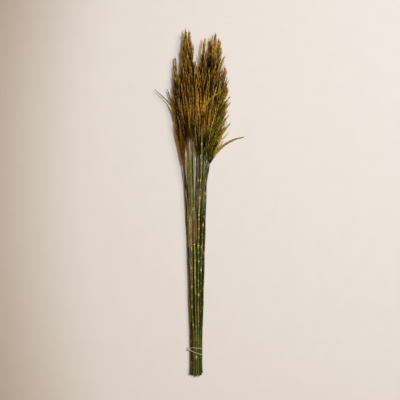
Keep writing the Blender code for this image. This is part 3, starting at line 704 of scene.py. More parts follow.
def settled_lines():
    common = np.arange(BUTT_Y, SETTLE_TOP_Y + 1e-6, SETTLE_STEP)
    wanted = np.array([wanted_place(reed, common) for reed in REEDS])
    for k, y in enumerate(common):
        at_tie = abs(y - TIE_Y) < JOINT_CLEAR_OF_TIE + SETTLE_STEP
        least = 2 * culm_radius(y) * JOINT_RIDGE + (TIE_GAP if at_tie else CULM_GAP)
        wanted[:, k] = settle(wanted[:, k], least)
    lines = {}
    for reed, places in zip(REEDS, wanted):
        above = np.linspace(SETTLE_TOP_Y, reed.tip[1] * MM, STATIONS_ABOVE + 1)[1:]
        lines[reed.name] = np.concatenate([common, above]), np.vstack([places, wanted_place(reed, above)])
    return lines


def culm_joints(reed):
    """Y of each joint of the culm, kept from under the string."""
    if reed.name in SEEN_JOINTS:
        return np.array(SEEN_JOINTS[reed.name]) * MM
    y = BUTT_Y + reed.first * MM
    joints = []
    below_tie = TIE_Y - JOINT_CLEAR_OF_TIE
    while y < reed.base * MM - JOINT_CLEAR_OF_PLUME:
        joints.append(min(y, below_tie) if abs(y - TIE_Y) < JOINT_CLEAR_OF_TIE else y)
        y += reed.joint * MM * (LOWEST_JOINT_STRETCH - JOINT_SHORTENING * len(joints))
    return np.array(joints)


LINES = settled_lines()


def reed_line(reed, y):
    """Points of the reed's middle line, from the cut end to the plume's tip, at each y."""
    y = np.asarray(y, float)
    stations, places = LINES[reed.name]
    joints = culm_joints(reed)
    opened = np.clip((joints - TIE_Y) / ZIGZAG_OPENING, 0, 1)
    swing = np.where(np.arange(len(joints)) % 2 == 0, 1.0, -1.0) * opened * ZIGZAG
    x = smooth_through(stations, places[:, 0], y) + np.interp(y, joints, swing, left=0.0, right=0.0)
    return np.stack([x, y, smooth_through(stations, places[:, 1], y)], axis=-1)


print("culm joints:", sum(len(culm_joints(reed)) for reed in REEDS))

# %% [markdown]
# ## Culms
# A culm isn't a smooth rod. Each joint is a swollen ring with a narrow waist below it, and between
# joints the wall bows a little. It could be a curve with a bevel, but a loft of rings lets every
# joint keep its own profile. The cut end is a real hollow with a wall, sliced slightly aslant.

# %% Grow the culms
CULM_SIDES = 18
# Millimetres from the joint, and the share of the culm's radius there
JOINT_PROFILE = (
    (-6.0, 0.985), (-3.4, 0.970), (-2.5, 0.972), (-1.8, 0.990), (-1.3, 1.075), (-0.7, 1.125),
    (0.2, 1.130), (0.8, 1.085), (1.4, 1.030), (2.4, 1.015), (4.5, 1.025), (9.0, 1.030),
)
HOLLOW_SHARE, HOLLOW_DEPTH = 0.62, 14.0 * MM
CULM_TOP_SHARE, BELOW_TOP_SHARE, BELOW_TOP = 0.88, 0.93, 1.5 * MM
PLUME_COVER = 1.5
CUT_SLOPE, CUT_ROUGHNESS, CUT_TONES = 0.10, 0.12 * MM, (0.2, 0.8)
# Shares of the outer or the inner radius, and depths, of the worn rim, the mouth and the wall in it
RIM_SHARE, RIM_DEPTH, MOUTH_SHARE, MOUTH_DEPTH, WALL_DEPTH = 0.93, -0.12 * MM, 1.08, 0.1 * MM, 0.4 * MM
INTERNODE_STEP, CLEAR_ABOVE, CLEAR_BELOW, CLEAR_OF_ENDS = 9.0 * MM, 15.0 * MM, 10.0 * MM, 3.0 * MM
# An internode's tone begins this far below its joint
TONE_LEAD = 0.5 * MM
BOW_WIDEST, BOW, BOW_VARIATION = 1.02, 0.02, 0.004
# The tone shift of each row is painted shade on the two lower rows and a little painted light on the top one
CULM_TONE, CULM_TONE_SPREAD, ROW_PAINTED_LIGHT_AND_SHADE = 0.42, 0.30, (-0.25, -0.08, 0.05)
# How bright each seen joint is, and how pale each internode of the three bleached reeds, from below
JOINT_GLOW = {
    "reed_01": (0.0, 0.1, 0.1, 0.1, 0.1, 0.45, 0.4, 0.2, 0.1, 0.4),
    "reed_09": (0.0, 0.1, 0.1, 0.1, 0.1, 0.1, 0.2, 0.1, 0.1, 0.2, 0.9),
    "reed_11": (0.0, 0.1, 0.15, 0.25, 0.1, 0.5, 0.1, 0.2, 0.4, 0.2),
    "reed_12": (0.0, 0.05, 0.5, 0.5, 0.6, 0.6, 0.8, 0.1, 0.15, 0.1, 0.15, 0.3),
    "reed_13": (1.0, 0.05, 0.2, 0.1, 0.1, 0.5, 0.5, 1.0, 0.1, 0.9, 0.3, 0.5, 0.5),
    "reed_14": (0.0, 0.1, 0.5, 0.1, 1.0, 0.35, 0.8, 1.0, 0.8, 1.0, 1.0, 0.9, 0.6, 0.8),
    "reed_15": (0.0, 0.1, 0.1, 0.1, 0.9, 0.4, 0.9, 0.1, 0.6, 0.4, 0.3),
}
HIDDEN_GLOW = 0.10
INTERNODE_TONE = {
    "reed_12": (0.15, 0.3, 0.3, 0.25, 0.3, 0.35, 0.45, 0.85, 0.9, 0.4, 0.25, 0.35, 0.45),
    "reed_13": (0.3, 0.35, 0.6, 0.6, 0.5, 0.85, 1.0, 0.9, 0.7, 0.6, 0.6, 0.7, 0.7, 0.6),
    "reed_14": (0.35, 0.25, 0.25, 0.5, 0.35, 0.4, 0.3, 0.35, 0.6, 0.65, 1.0, 0.45, 0.7, 0.8, 0.6),
}


def culm_stations(reed, rng):
    """Y, share of the radius, distance to the joint, tone and glow at each ring of the culm's outside."""
    butt, top = BUTT_Y + reed.butt * MM, (reed.base + PLUME_COVER) * MM
    joints = culm_joints(reed)
    rows = [(butt, 1.0), (butt + CLEAR_OF_ENDS, 1.0)]
    for joint in joints:
        rows += [(joint + offset * MM, share) for offset, share in JOINT_PROFILE]
    edges = np.concatenate([[butt], joints, [top]])
    for low, high in zip(edges[:-1], edges[1:]):
        between = np.arange(low + CLEAR_ABOVE, high - CLEAR_BELOW, INTERNODE_STEP)
        bow = BOW_WIDEST - BOW * np.sin(np.pi * (between - low) / (high - low))
        rows += list(zip(between, bow + rng.normal(0, BOW_VARIATION, len(between))))
    rows = sorted(row for row in rows if butt <= row[0] < top - CLEAR_OF_ENDS)
    y, share = np.array(rows + [(top - BELOW_TOP, BELOW_TOP_SHARE), (top, CULM_TOP_SHARE)]).T
    nearest = np.abs(y[:, None] - joints).argmin(axis=1)
    away = (y - joints[nearest]) / MM
    internode = np.searchsorted(joints, y + TONE_LEAD)
    varied = rng.normal(CULM_TONE, CULM_TONE_SPREAD, len(joints) + 1) + ROW_PAINTED_LIGHT_AND_SHADE[reed.slot[0]]
    tones = np.array(INTERNODE_TONE.get(reed.name, np.clip(varied, 0, 1)))
    bright = np.array(JOINT_GLOW.get(reed.name, np.full(len(joints), HIDDEN_GLOW)))
    return y, share, away, tones[internode], bright[nearest]


def ring_strip(rings, material, rng):
    """Quads between rings that follow each other inward."""
    sides = len(rings[0])
    points = np.concatenate(rings)
    i = np.arange(sides)
    j = (i + 1) % sides
    low = sides * np.arange(len(rings) - 1)[:, None]
    quads = np.stack([low + i, low + j, low + sides + j, low + sides + i], axis=-1).reshape(-1, 4)
    return quad_part(points, quads, points / MM, rng.uniform(*CUT_TONES, len(points)), material)


def grow_culm(number, reed):
    rng = np.random.default_rng(100 + number)
    y, share, away, tone, glow = culm_stations(reed, rng)
    centres = reed_line(reed, y)
    radii = culm_radius(y) * share
    deep = reed_line(reed, y[0] + HOLLOW_DEPTH)
    inner = radii[0] * HOLLOW_SHARE
    marks = {"tone": with_ends(tone), "joint": with_ends(away), "glow": with_ends(glow)}
    outside = tubes(with_ends(centres)[None], np.concatenate([[0], radii, [0]]), CULM_SIDES, **marks)
    outside["tris"] = outside["tris"][CULM_SIDES:]
    aslant = rng.uniform(0, 2 * math.pi)
    angles = 2 * math.pi * np.arange(CULM_SIDES) / CULM_SIDES
    uneven = rng.normal(0, CUT_ROUGHNESS, CULM_SIDES)
    worn_rim, mouth = (radii[0] * RIM_SHARE, RIM_DEPTH), (inner * MOUTH_SHARE, MOUTH_DEPTH)
    rims = []
    for radius, depth in ((radii[0], 0.0), worn_rim, mouth, (inner, WALL_DEPTH)):
        cut = CUT_SLOPE * radius * np.cos(angles - aslant) + uneven + depth
        rims.append(np.stack([radius * np.cos(angles), cut, radius * np.sin(angles)], axis=-1) + centres[0])
    outside["points"][1:1 + CULM_SIDES] = rims[0]
    floor_ring = np.stack([inner * np.cos(angles), 0 * angles, inner * np.sin(angles)], axis=-1) + deep
    inside = [rims[2], rims[3], floor_ring, floor_ring * 0 + deep]
    parts = [outside, ring_strip(rims[:3], 1, rng), ring_strip(inside, 2, rng)]
    finish = f"culm_{reed.finish}"
    materials = [CULM_MATERIALS[finish], PITH, HOLLOW_SHADE]
    return make_piece(f"culm_{number:02d}", parts, materials, [f"{reed.name}_culm"])


culms = [grow_culm(number, reed) for number, reed in enumerate(REEDS, 1)]
print("culms:", len(culms), "pieces,", sum(map(triangles_of, culms)), "triangles")

# %% [markdown]
# ## Plumes
# A plume is a closed-up panicle. Branches leave the axis in a spiral, swing out a little and run
# on nearly parallel to it, so the whole plume is a narrow spindle. Hair particles would be the
# usual way, but here every branch and spikelet is a real mesh. The spiral uses the golden angle,
# as plants do, and seeded random numbers vary lengths, reach and tone. The plumes lie in one heap.
# What is sunk in it gets painted shade, a darker colour where the heap shades it, and the branches
# at its top sag under their own weight.

# %% Shape the plume
GOLDEN_ANGLE = math.pi * (3 - math.sqrt(5))
STRAND_REACH = 12.5 * MM
WIDEST_SHARE, POINT_FROM, WIDENING_BEND, CLOSING_BEND, BLUNT_POINT = 0.35, 0.86, 0.28, 0.38, 0.06
SHORTEST_STRAND, STRAND_LENGTHENING, LENGTHENING_BEND = 0.06, 0.26, 0.85
# A branch varies in length, and it ends before the plume's tip
LENGTH_VARIATION, ROOM_USED = (0.75, 1.15), (0.55, 0.95)
BRANCH_SPACING, BRANCH_STATIONS = 2.9 * MM, 9
# Where the first and the last branches leave, how far one leaves from its turn, and the foot's density
FIRST_SHARE, END_SHARE, PLACE_JITTER, CROWDED_FOOT = 0.01, 0.95, 4, 1.30
BRANCH_LEAVING, BRANCH_REACH, TURN_JITTER = (0.9, 1.6), (0.25, 1.25), (-0.3, 0.3)
# Branches near the plume's foot swing out sooner
FOOT_LEAVING, FOOT_SHARE_END = 1.8, 0.25
WILD_SHARE, WILD_REACH, WILD_BEND, SWEEP_BEND = 0.18, 6.0 * MM, 2.5, 1.5
BRANCH_RADIUS, BRANCH_TIP_RADIUS, BRANCH_WAVE, WAVE_TURNS = 0.34 * MM, 0.10 * MM, 0.7 * MM, (0.6, 1.4)
SAG_FROM, SAG_SHARE = 36.0 * MM, 0.55
# The tip of a plume is open to the light from OPEN_FROM on
OPEN_FROM, OPEN_BAND, TIP_LIGHT = 0.74, 0.12, 0.45
HEAP_HALF_WIDTH, HEAP_HEIGHT = 64.0 * MM, 40.0 * MM
# Painted shade: places low in the heap, below SUNK_BELOW of its height, keep only SUNK_SHARE of their light
SUNK_SHARE, SUNK_BELOW, SUNK_BAND = 0.36, 0.30, 0.50
# The narrowest plume and the lowest edge of the heap that depths are reckoned with
LEAST_OUTLINE, LEAST_HEAP = 0.3, 0.05

# How each plume differs: how dense, wide and pale it is, the tone of its strays, its share of the
# other colour at foot and tip, how many millimetres to the right its branches end, the light on its
# foot where nothing covers it, and its finish where that isn't its slot's. The tone is partly the
# plume's own colour and partly painted shade, darker for the plumes that lie low in the heap
Habit = namedtuple(
    "Habit", "density width tone stray_tone foot_hue tip_hue sweep foot_light look",
    defaults=(1.0, 1.0, 0.0, 0.45, 0.3, 0.2, 0, 0.0, ""),
)
HABITS = {
    "reed_01": Habit(1.0, 0.70, 0.0, 0.0, 1.3, 0.5, -2, 0.65, "plume_left"),
    "reed_02": Habit(tone=-0.30),
    "reed_03": Habit(0.8, tone=-0.30, sweep=2),
    "reed_04": Habit(1.1, 1.25, -0.22, 0.45, 0.1, 0.9, 6),
    "reed_05": Habit(1.3, 1.2, 0.0, 0.55, 0.0, 0.4, 9, 0.12),
    "reed_06": Habit(1.0, 0.64, -0.20, 0.0, 1.3, 0.1, -3, 0.65, "plume_left"),
    "reed_07": Habit(tone=-0.20, sweep=-2),
    "reed_08": Habit(tone=-0.18, foot_hue=0.4),
    "reed_09": Habit(tone=-0.30),
    "reed_10": Habit(1.25, 1.5, -0.32, 0.45, 0.0, 0.9, 6),
    "reed_11": Habit(1.3, 1.1, -0.15, 0.45, 1.0, 0.2, 4, 0.12, "plume_right"),
    "reed_12": Habit(1.4, tone=-0.25, sweep=-1),
    "reed_13": Habit(1.4, tone=-0.21),
    "reed_14": Habit(tone=-0.03, stray_tone=0.05, foot_hue=0.5),
    "reed_15": Habit(tone=-0.05, foot_hue=0.4, tip_hue=0.9, sweep=3),
}


def plume_outline(share):
    """How wide the plume is at a share of its length: it widens from the foot and closes at the tip."""
    share = np.asarray(share, float)
    widening = np.clip(share / WIDEST_SHARE, 0, 1) ** WIDENING_BEND
    closing = np.clip((1 - np.minimum(share, POINT_FROM)) / (1 - WIDEST_SHARE), 0, 1) ** CLOSING_BEND
    return widening * closing * np.clip((1 - share) / (1 - POINT_FROM), BLUNT_POINT, 1)


# Its result is the mark depth, from which the materials paint shade
def heap_light(points, height, away, habit):
    """How open to the light each place of the branches is, from 0 in the heap's heart to 1."""
    opened = np.clip((height - OPEN_FROM) / OPEN_BAND, 0, 1)
    depth = away / STRAND_REACH / np.maximum(plume_outline(height), LEAST_OUTLINE)
    depth += TIP_LIGHT * opened
    depth += habit.foot_light * np.clip(1 - height / WIDEST_SHARE, 0, 1)
    across = np.clip(1 - (points[..., 0] / HEAP_HALF_WIDTH) ** 2, LEAST_HEAP, 1)
    level = points[..., 2] / (HEAP_HEIGHT * np.sqrt(across))
    raised = np.clip((level - SUNK_BELOW) / SUNK_BAND, 0, 1)
    bare = np.maximum(raised, 1.0 if habit.foot_light else opened)
    return np.clip(depth, 0, 1) * (SUNK_SHARE + (1 - SUNK_SHARE) * bare)


def branch_lines(reed, habit, rng):
    """Lines of the branches in the plume's spiral, as (branch, station, 3), their light and their places."""
    base, tip = reed.base * MM, reed.tip[1] * MM
    plume = tip - base
    count = int(plume / BRANCH_SPACING * habit.density)
    order = (np.arange(count) + rng.uniform(-PLACE_JITTER, PLACE_JITTER, count)).clip(0) / count
    share = np.minimum(FIRST_SHARE + END_SHARE * order ** CROWDED_FOOT, END_SHARE)
    angle = GOLDEN_ANGLE * np.arange(count) + rng.uniform(*TURN_JITTER, count)
    wanted = SHORTEST_STRAND + STRAND_LENGTHENING * (1 - share) ** LENGTHENING_BEND
    wanted = wanted * rng.uniform(*LENGTH_VARIATION, count)
    length = plume * np.minimum(wanted, (1 - share) * rng.uniform(*ROOM_USED, count))
    reach = STRAND_REACH * habit.width * rng.uniform(*BRANCH_REACH, count)
    leaving = rng.uniform(*BRANCH_LEAVING, (count, 1))
    leaving *= 1 + FOOT_LEAVING * np.clip(1 - share[:, None] / FOOT_SHARE_END, 0, 1)
    wild = WILD_REACH * (rng.random(count) < WILD_SHARE) * plume_outline(share)
    along = np.linspace(0, 1, BRANCH_STATIONS)
    y = base + share[:, None] * plume + length[:, None] * along
    points = reed_line(reed, y.ravel()).reshape(count, BRANCH_STATIONS, 3)
    outward = np.stack([np.cos(angle), 0 * angle, np.sin(angle)], axis=-1)
    sideways = np.stack([-np.sin(angle), 0 * angle, np.cos(angle)], axis=-1)
    height = (y - base) / plume
    away = reach[:, None] * plume_outline(height) * (1 - (1 - along) ** leaving)
    away += wild[:, None] * along ** WILD_BEND
    turns = along * rng.uniform(*WAVE_TURNS, (count, 1)) + rng.random((count, 1))
    wave = BRANCH_WAVE * along * np.sin(2 * math.pi * turns)
    points += away[..., None] * outward[:, None] + wave[..., None] * sideways[:, None]
    points[..., 0] += habit.sweep * MM * along ** SWEEP_BEND * plume_outline(share)[:, None]
    points[..., 2] -= SAG_SHARE * np.clip(points[..., 2] - SAG_FROM, 0, None)
    return points, heap_light(points, height, away, habit), share


# %% [markdown]
# Some branches stand out of the mass, two of them far out to the sides, and two others lie on the
# floor and carry the outer plumes. They are given point by point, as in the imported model. Only the
# last stray, which lies slantwise on top of the heap, isn't in it. Each stray has shorter
# companions, because on the real plume a stray is a whole side branch.

# %% Strays and props
STRAY_STRANDS = (
    ("reed_06", 166, ((-52, 190, 19), (-65, 220, 17), (-82, 239, 14), (-101.5, 257, 11))),
    ("reed_01", 180, ((-57, 218, 11), (-66, 236, 10), (-74, 259, 9))),
    ("reed_05", 96, ((43, 116, 9), (53, 126, 8), (63, 133, 7), (84, 144, 6), (104, 149, 5))),
    ("reed_05", 128, ((49, 150, 12), (62, 168, 12), (73, 181, 11))),
    ("reed_11", 150, ((47, 170, 22), (55, 182, 24), (68, 198, 24))),
    ("reed_11", 178, ((55, 206, 23), (62, 214, 24), (72, 228, 24))),
    ("reed_11", 200, ((57, 236, 22), (62, 247, 23), (68, 256, 23))),
    ("reed_10", 258, ((41, 286, 23), (50, 314, 26), (60, 334, 27))),
    ("reed_14", 196, ((14, 218, 38), (26, 233, 37), (48, 250, 31))),
)
FLOOR_STRANDS = (
    ("reed_01", 165, ((-47, 212, 0.6), (-47, 242, 0.6), (-47, 257, 2.0))),
    ("reed_05", 140, ((52, 196, 0.6), (57, 228, 0.6), (59.5, 244, 2.0))),
)
# The length of each companion as a share of the stray, and how far aside it ends in millimetres
COMPANIONS = ((0.96, 1.0), (0.90, -1.0), (0.86, 0.3), (0.80, 1.7), (0.70, -1.8), (0.55, 2.3), (0.42, -2.4))
# Companions part along a piece of a sine wave, go back by a share of how far aside, and rise
PARTING_END, BACK_SHARE, COMPANION_RISE = math.pi * 0.6, 0.6, 0.5 * MM


def curve_through(points, count):
    """Evenly spaced places on a smooth curve through the points."""
    points = np.asarray(points, float)
    length = np.concatenate([[0], np.linalg.norm(np.diff(points, axis=0), axis=1).cumsum()])
    at = np.linspace(0, length[-1], count)
    return np.stack([smooth_through(length, points[:, k], at) for k in range(3)], axis=-1)


def stray_lines(reed):
    """Lines of the stray and floor strands of a reed, the strays with their companions."""

    def through(root_y, points):
        line = np.vstack([reed_line(reed, root_y * MM), np.array(points) * MM])
        return curve_through(line, BRANCH_STATIONS)

    lines = []
    parting = np.sin(np.linspace(0, PARTING_END, BRANCH_STATIONS))
    for line in [through(*rest) for name, *rest in STRAY_STRANDS if name == reed.name]:
        lines.append(line)
        for share, aside in COMPANIONS:
            shorter = curve_through(line[:max(3, round(share * BRANCH_STATIONS))], BRANCH_STATIONS)
            lines.append(shorter + np.outer(parting, (aside * MM, -aside * BACK_SHARE * MM, COMPANION_RISE)))
    return lines + [through(*rest) for name, *rest in FLOOR_STRANDS if name == reed.name]


# %% [markdown]
# Spikelets sit round each branch in a spiral of their own and lean outward, so that a branch looks
# like a thin ear. Each is a three-sided spindle, widest near its root, and one in four ends in an
# awn, a hair-thin bristle. They stand in clusters, larger and paler in the middle of each. Nothing
# may sink into the floor, so low stations are lifted.

# %% Dress the branches
SPIKELET_SPACING, SPIKELET_FROM = 1.35 * MM, 0.06
SPIKELET_LENGTH, SPIKELET_RADIUS = (5.6 * MM, 9.0 * MM), (0.52 * MM, 0.80 * MM)
SPIKELET_LEAN, SPIKELET_CURL, SPIKELET_TURN_JITTER = (0.20, 0.52), 0.10, (0, 1.2)
SPIKELET_STATIONS = np.array([0.0, 0.32, 0.68, 1.0])
SPIKELET_WIDTHS = np.array([0.0, 1.0, 0.62, 0.0])
CLUSTER_LENGTH, CLUSTER_TONE, CLUSTER_SIZE = (6.0 * MM, 11.0 * MM), 0.22, 0.30
AWN_SHARE, AWN_LENGTH, AWN_RADIUS, AWN_SPREAD = 0.25, (3.0 * MM, 6.0 * MM), 0.07 * MM, 0.15 * MM
AWN_MIDDLE, AWN_TIPS = 0.4, np.array([0.6, 0.8, 1.0])
TONE_NOISE, FLOOR_GAP, HAIR_SIDES = 0.10, 0.02 * MM, 3
# How large the spikelets are at the root, at a quarter and at the end of a branch
EAR_PLACES, EAR_SIZES, EAR_SIZE_BEND = (0.0, 0.25, 1.0), (0.6, 1.0, 0.35), 0.3


def lift_from_floor(lines, radii):
    lines[..., 2] = np.maximum(lines[..., 2], radii + FLOOR_GAP)
    return lines


def spikelets(lines, tones, hues, depths, rng):
    """Spindles and awns along the branches, as two parts."""
    spans = lines.shape[1] - 1
    length = np.linalg.norm(np.diff(lines, axis=1), axis=2).sum(axis=1)
    counts = np.maximum((length * (1 - SPIKELET_FROM) / SPIKELET_SPACING).astype(int), 1)
    branch = np.repeat(np.arange(len(lines)), counts)
    count = len(branch)
    order = np.arange(count) - np.repeat(np.cumsum(counts) - counts, counts)
    reach = 1 - SPIKELET_LENGTH[0] / np.maximum(length, 2 * SPIKELET_LENGTH[0])
    at = SPIKELET_FROM + (reach[branch] - SPIKELET_FROM) * (order + rng.random(count)) / counts[branch]
    at = at * spans
    k = np.minimum(at.astype(int), spans - 1)
    t = (at - k)[:, None]
    root = lines[branch, k] * (1 - t) + lines[branch, k + 1] * t
    depth = depths[branch, k][:, None] * (1 - t) + depths[branch, k + 1][:, None] * t
    clusters = length / rng.uniform(*CLUSTER_LENGTH, len(lines))
    place = at / spans * clusters[branch] + rng.random(len(lines))[branch]
    crowding = np.sin(2 * math.pi * place)
    forward = unit(lines[branch, k + 1] - lines[branch, k])
    level = unit(np.cross(forward, UP))
    upward = np.cross(level, forward)
    around = GOLDEN_ANGLE * order + rng.uniform(*SPIKELET_TURN_JITTER, count) + branch
    outward = np.cos(around)[:, None] * level + np.sin(around)[:, None] * upward
    narrowing = np.interp(at / spans, EAR_PLACES, EAR_SIZES)
    lean = np.tan(rng.uniform(*SPIKELET_LEAN, count) * narrowing)[:, None]
    aim = unit(forward + lean * outward)
    size = narrowing ** EAR_SIZE_BEND * (1 + CLUSTER_SIZE * crowding)
    long = (rng.uniform(*SPIKELET_LENGTH, count) * size)[:, None, None]
    wide = (rng.uniform(*SPIKELET_RADIUS, count) * size)[:, None]
    s = SPIKELET_STATIONS[None, :, None]
    ears = root[:, None] + long * (aim[:, None] * s - SPIKELET_CURL * outward[:, None] * s * s)
    radii = wide * SPIKELET_WIDTHS
    tone = tones[branch] + CLUSTER_TONE * crowding + rng.normal(0, TONE_NOISE, count)
    hue = hues[branch] + rng.normal(0, TONE_NOISE, count)
    marks = {"tone": np.clip(tone, 0, 1)[:, None], "hue": np.clip(hue, 0, 1)[:, None], "depth": depth}
    husks = tubes(lift_from_floor(ears, radii), radii, HAIR_SIDES, tip=SPIKELET_STATIONS, **marks)
    bristled = rng.random(count) < AWN_SHARE
    start, end = ears[bristled, 2], ears[bristled, 3]
    ahead = unit(end - start + rng.normal(0, AWN_SPREAD, start.shape))
    far = rng.uniform(*AWN_LENGTH, bristled.sum())[:, None]
    awns = np.stack([start, start + ahead * far * AWN_MIDDLE, start + ahead * far], axis=1)
    thin = np.array([0.0, AWN_RADIUS, 0.0])
    marks = {name: values[bristled] for name, values in marks.items()}
    bristles = tubes(lift_from_floor(awns, thin), thin, HAIR_SIDES, tip=AWN_TIPS, **marks)
    return [husks, bristles]


# %% Grow the plumes
AXIS_RADIUS, AXIS_TIP_RADIUS, AXIS_STATIONS, AXIS_START = 1.40 * MM, 0.25 * MM, 40, 1.0 * MM
AXIS_WAVES, AXIS_KNOT_SIZE, AXIS_TAPER, AXIS_TONE, AXIS_SIDES = 60, 0.10, 0.8, 0.6, 8
# The crown is the branch that goes on where the axis ends
CROWN_FROM, CROWN_LEAD = 0.5, 2.5 * MM
TONE_SHAPE, TONE_SPREAD, TONE_LIFT, HUE_SPREAD = (0.6, 0.5), 0.80, 0.20, 0.30


def grow_plume(number, reed):
    rng = np.random.default_rng(200 + number)
    habit = HABITS[reed.name]
    base, tip = reed.base * MM, reed.tip[1] * MM
    share = np.linspace(0, 1, AXIS_STATIONS)
    axis = reed_line(reed, np.linspace(base - AXIS_START, tip, AXIS_STATIONS))
    knots = 1 + AXIS_KNOT_SIZE * np.maximum(0, np.sin(share * AXIS_WAVES)) ** 4
    axis_radii = (AXIS_RADIUS + (AXIS_TIP_RADIUS - AXIS_RADIUS) * share ** AXIS_TAPER) * knots
    stem = tubes(axis[None], axis_radii, AXIS_SIDES, material=1, tone=np.full(AXIS_STATIONS, AXIS_TONE))
    crown = reed_line(reed, np.linspace(base + CROWN_FROM * (tip - base), tip + CROWN_LEAD, BRANCH_STATIONS))
    branches, depths, share = branch_lines(reed, habit, rng)
    apart = np.array([crown, *stray_lines(reed)])
    branches = np.concatenate([branches, apart])
    depths = np.concatenate([depths, np.ones(apart.shape[:2])])
    share = np.concatenate([share, np.ones(len(apart))])
    tones = rng.beta(*TONE_SHAPE, len(branches)) * TONE_SPREAD + TONE_LIFT * share + habit.tone
    if len(apart) > 1:
        tones[-len(apart) + 1:] = habit.stray_tone
    hues = habit.foot_hue + (habit.tip_hue - habit.foot_hue) * share
    hues = np.clip(hues + rng.normal(0, HUE_SPREAD, len(branches)), 0, 1)
    radii = np.linspace(BRANCH_RADIUS, BRANCH_TIP_RADIUS, BRANCH_STATIONS)
    lift_from_floor(branches, radii)
    along = np.linspace(0, 1, BRANCH_STATIONS)
    twigs = tubes(branches, radii, HAIR_SIDES, material=1, tone=tones[:, None], depth=depths, tip=along)
    finish = f"plume_{reed.plume}"
    parts = [stem, twigs, *spikelets(branches, tones, hues, depths, rng)]
    materials = [PLUME_MATERIALS[habit.look or finish], BRANCH]
    return make_piece(f"plume_{number:02d}", parts, materials, [f"{reed.name}_plume"])


plumes = [grow_plume(number, reed) for number, reed in enumerate(REEDS, 1)]
print("plumes:", len(plumes), "pieces,", sum(map(triangles_of, plumes)), "triangles,",
      max(map(triangles_of, plumes)), "in the largest")

# %% [markdown]
# ## The tie
# The string is two plies twisted together. It goes twice round the bundle, one turn nearly level
# and one slanting, and is knotted at the left with two short frayed tails. A texture on a smooth
# tube would look printed on, so the plies are real tubes that wind round the string's own line.

# %% Route of the string
TIE_CORNERS = ("reed_01", "reed_05", "reed_11", "reed_15", "reed_12", "reed_06")
CORNER_STEP = math.radians(12)
TURN_SLANTS = ((-0.3342, -0.3365), (-0.3420, -0.3515))
KNOT_Y = -0.3390
KNOT_REACH = 7.0 * MM
KNOT_OUTWARD = 1.3 * MM
TAILS = (
    ((-1.5, -0.8, 0.3), (-3.6, -2.2, -0.6), (-6.2, -3.0, -2.6)),
    ((-1.4, 0.9, -0.4), (-3.2, 2.4, -1.8), (-4.6, 3.2, -4.4)),
)


def string_route():
    """Places of the string's middle line round the corner culms, in x and z, from the leftmost on."""
    corners = [np.array(tie_place(REED_NAMED[name])) for name in TIE_CORNERS]
    route = []
    for i, corner in enumerate(corners):
        before = corner - corners[i - 1]
        after = corners[(i + 1) % len(corners)] - corner
        start = math.atan2(before[1], before[0]) - math.pi / 2
        turn = (math.atan2(after[1], after[0]) - math.pi / 2 - start) % (2 * math.pi)
        steps = math.ceil(turn / CORNER_STEP)
        for k in range(steps + 1):
            angle = start + turn * k / steps
            route.append(corner + STRING_STAND_OFF * np.array([math.cos(angle), math.sin(angle)]))
    route = np.array(route)
    return np.roll(route, -route[:, 0].argmin(), axis=0)


ROUTE = string_route()
KNOT = np.array([ROUTE[0, 0] - KNOT_OUTWARD, KNOT_Y, ROUTE[0, 1]])


def turn_line(left_y, right_y):
    """One turn of the string: it leaves the knot and slants from left_y to right_y."""
    places = np.vstack([ROUTE, ROUTE[:1]])
    low, high = places[:, 0].min(), places[:, 0].max()
    y = left_y + (right_y - left_y) * (places[:, 0] - low) / (high - low)
    nearness = np.clip(1 - np.hypot(places[:, 0] - KNOT[0], places[:, 1] - KNOT[2]) / KNOT_REACH, 0, 1)
    y = y + (KNOT_Y - y) * nearness
    return np.stack([places[:, 0], y, places[:, 1]], axis=-1)


one_turn = np.linalg.norm(np.diff(ROUTE, axis=0), axis=1).sum()
print("string round the bundle:", round(one_turn / MM), "mm a turn")

# %% Twist the plies
PLY_STEP = 0.35 * MM
PLY_PITCH = 3.4 * MM
PLY_RADIUS, PLY_OFFSET, PLY_SIDES, PLY_TONE = 0.35 * MM, 0.28 * MM, 7, 0.5
# A direction that no piece of the string sets out along
ACROSS_STRING = (0.3, 0.2, 0.9)
KNOT_SIZE = np.array([0.75, 0.85, 0.60]) * MM
KNOT_STATIONS = 60
FRAY_COUNT, FRAY_LENGTH, FRAY_RADIUS, FRAY_SPREAD, SHORTEST_FRAY = 9, 2.6 * MM, 0.06 * MM, 0.28, 0.5
FUZZ_COUNT, FUZZ_LENGTH, FUZZ_RADIUS, FUZZ_TONE = 260, (0.6 * MM, 1.8 * MM), 0.025 * MM, 0.8


def carried_normals(line):
    """A vector across the line at each place, carried along it without twist."""
    forward = unit(np.gradient(line, axis=0))
    normals = [unit(np.cross(forward[0], ACROSS_STRING))]
    for direction in forward[1:]:
        normals.append(unit(normals[-1] - direction * (normals[-1] @ direction)))
    return np.array(normals), forward


def twisted(points):
    """Two plies wound round a smooth line through the points, as one part, and that line."""
    rough = np.linalg.norm(np.diff(points, axis=0), axis=1).sum()
    line = curve_through(points, max(8, int(rough / PLY_STEP)))
    normals, forward = carried_normals(line)
    binormals = np.cross(forward, normals)
    at = np.arange(len(line)) * PLY_STEP
    plies = []
    for start in (0.0, math.pi):
        angle = (2 * math.pi * at / PLY_PITCH + start)[:, None]
        plies.append(with_ends(line + PLY_OFFSET * (np.cos(angle) * normals + np.sin(angle) * binormals)))
    plies = np.array(plies)
    directions = np.gradient(plies, axis=1)
    directions[:, 0], directions[:, -1] = forward[0], forward[-1]
    plies[..., 2] = np.maximum(plies[..., 2], PLY_RADIUS)
    tone = np.full((2, 1), PLY_TONE)
    across = with_ends(normals)
    return tubes(plies, PLY_RADIUS, PLY_SIDES, across=across, directions=directions, tone=tone), line


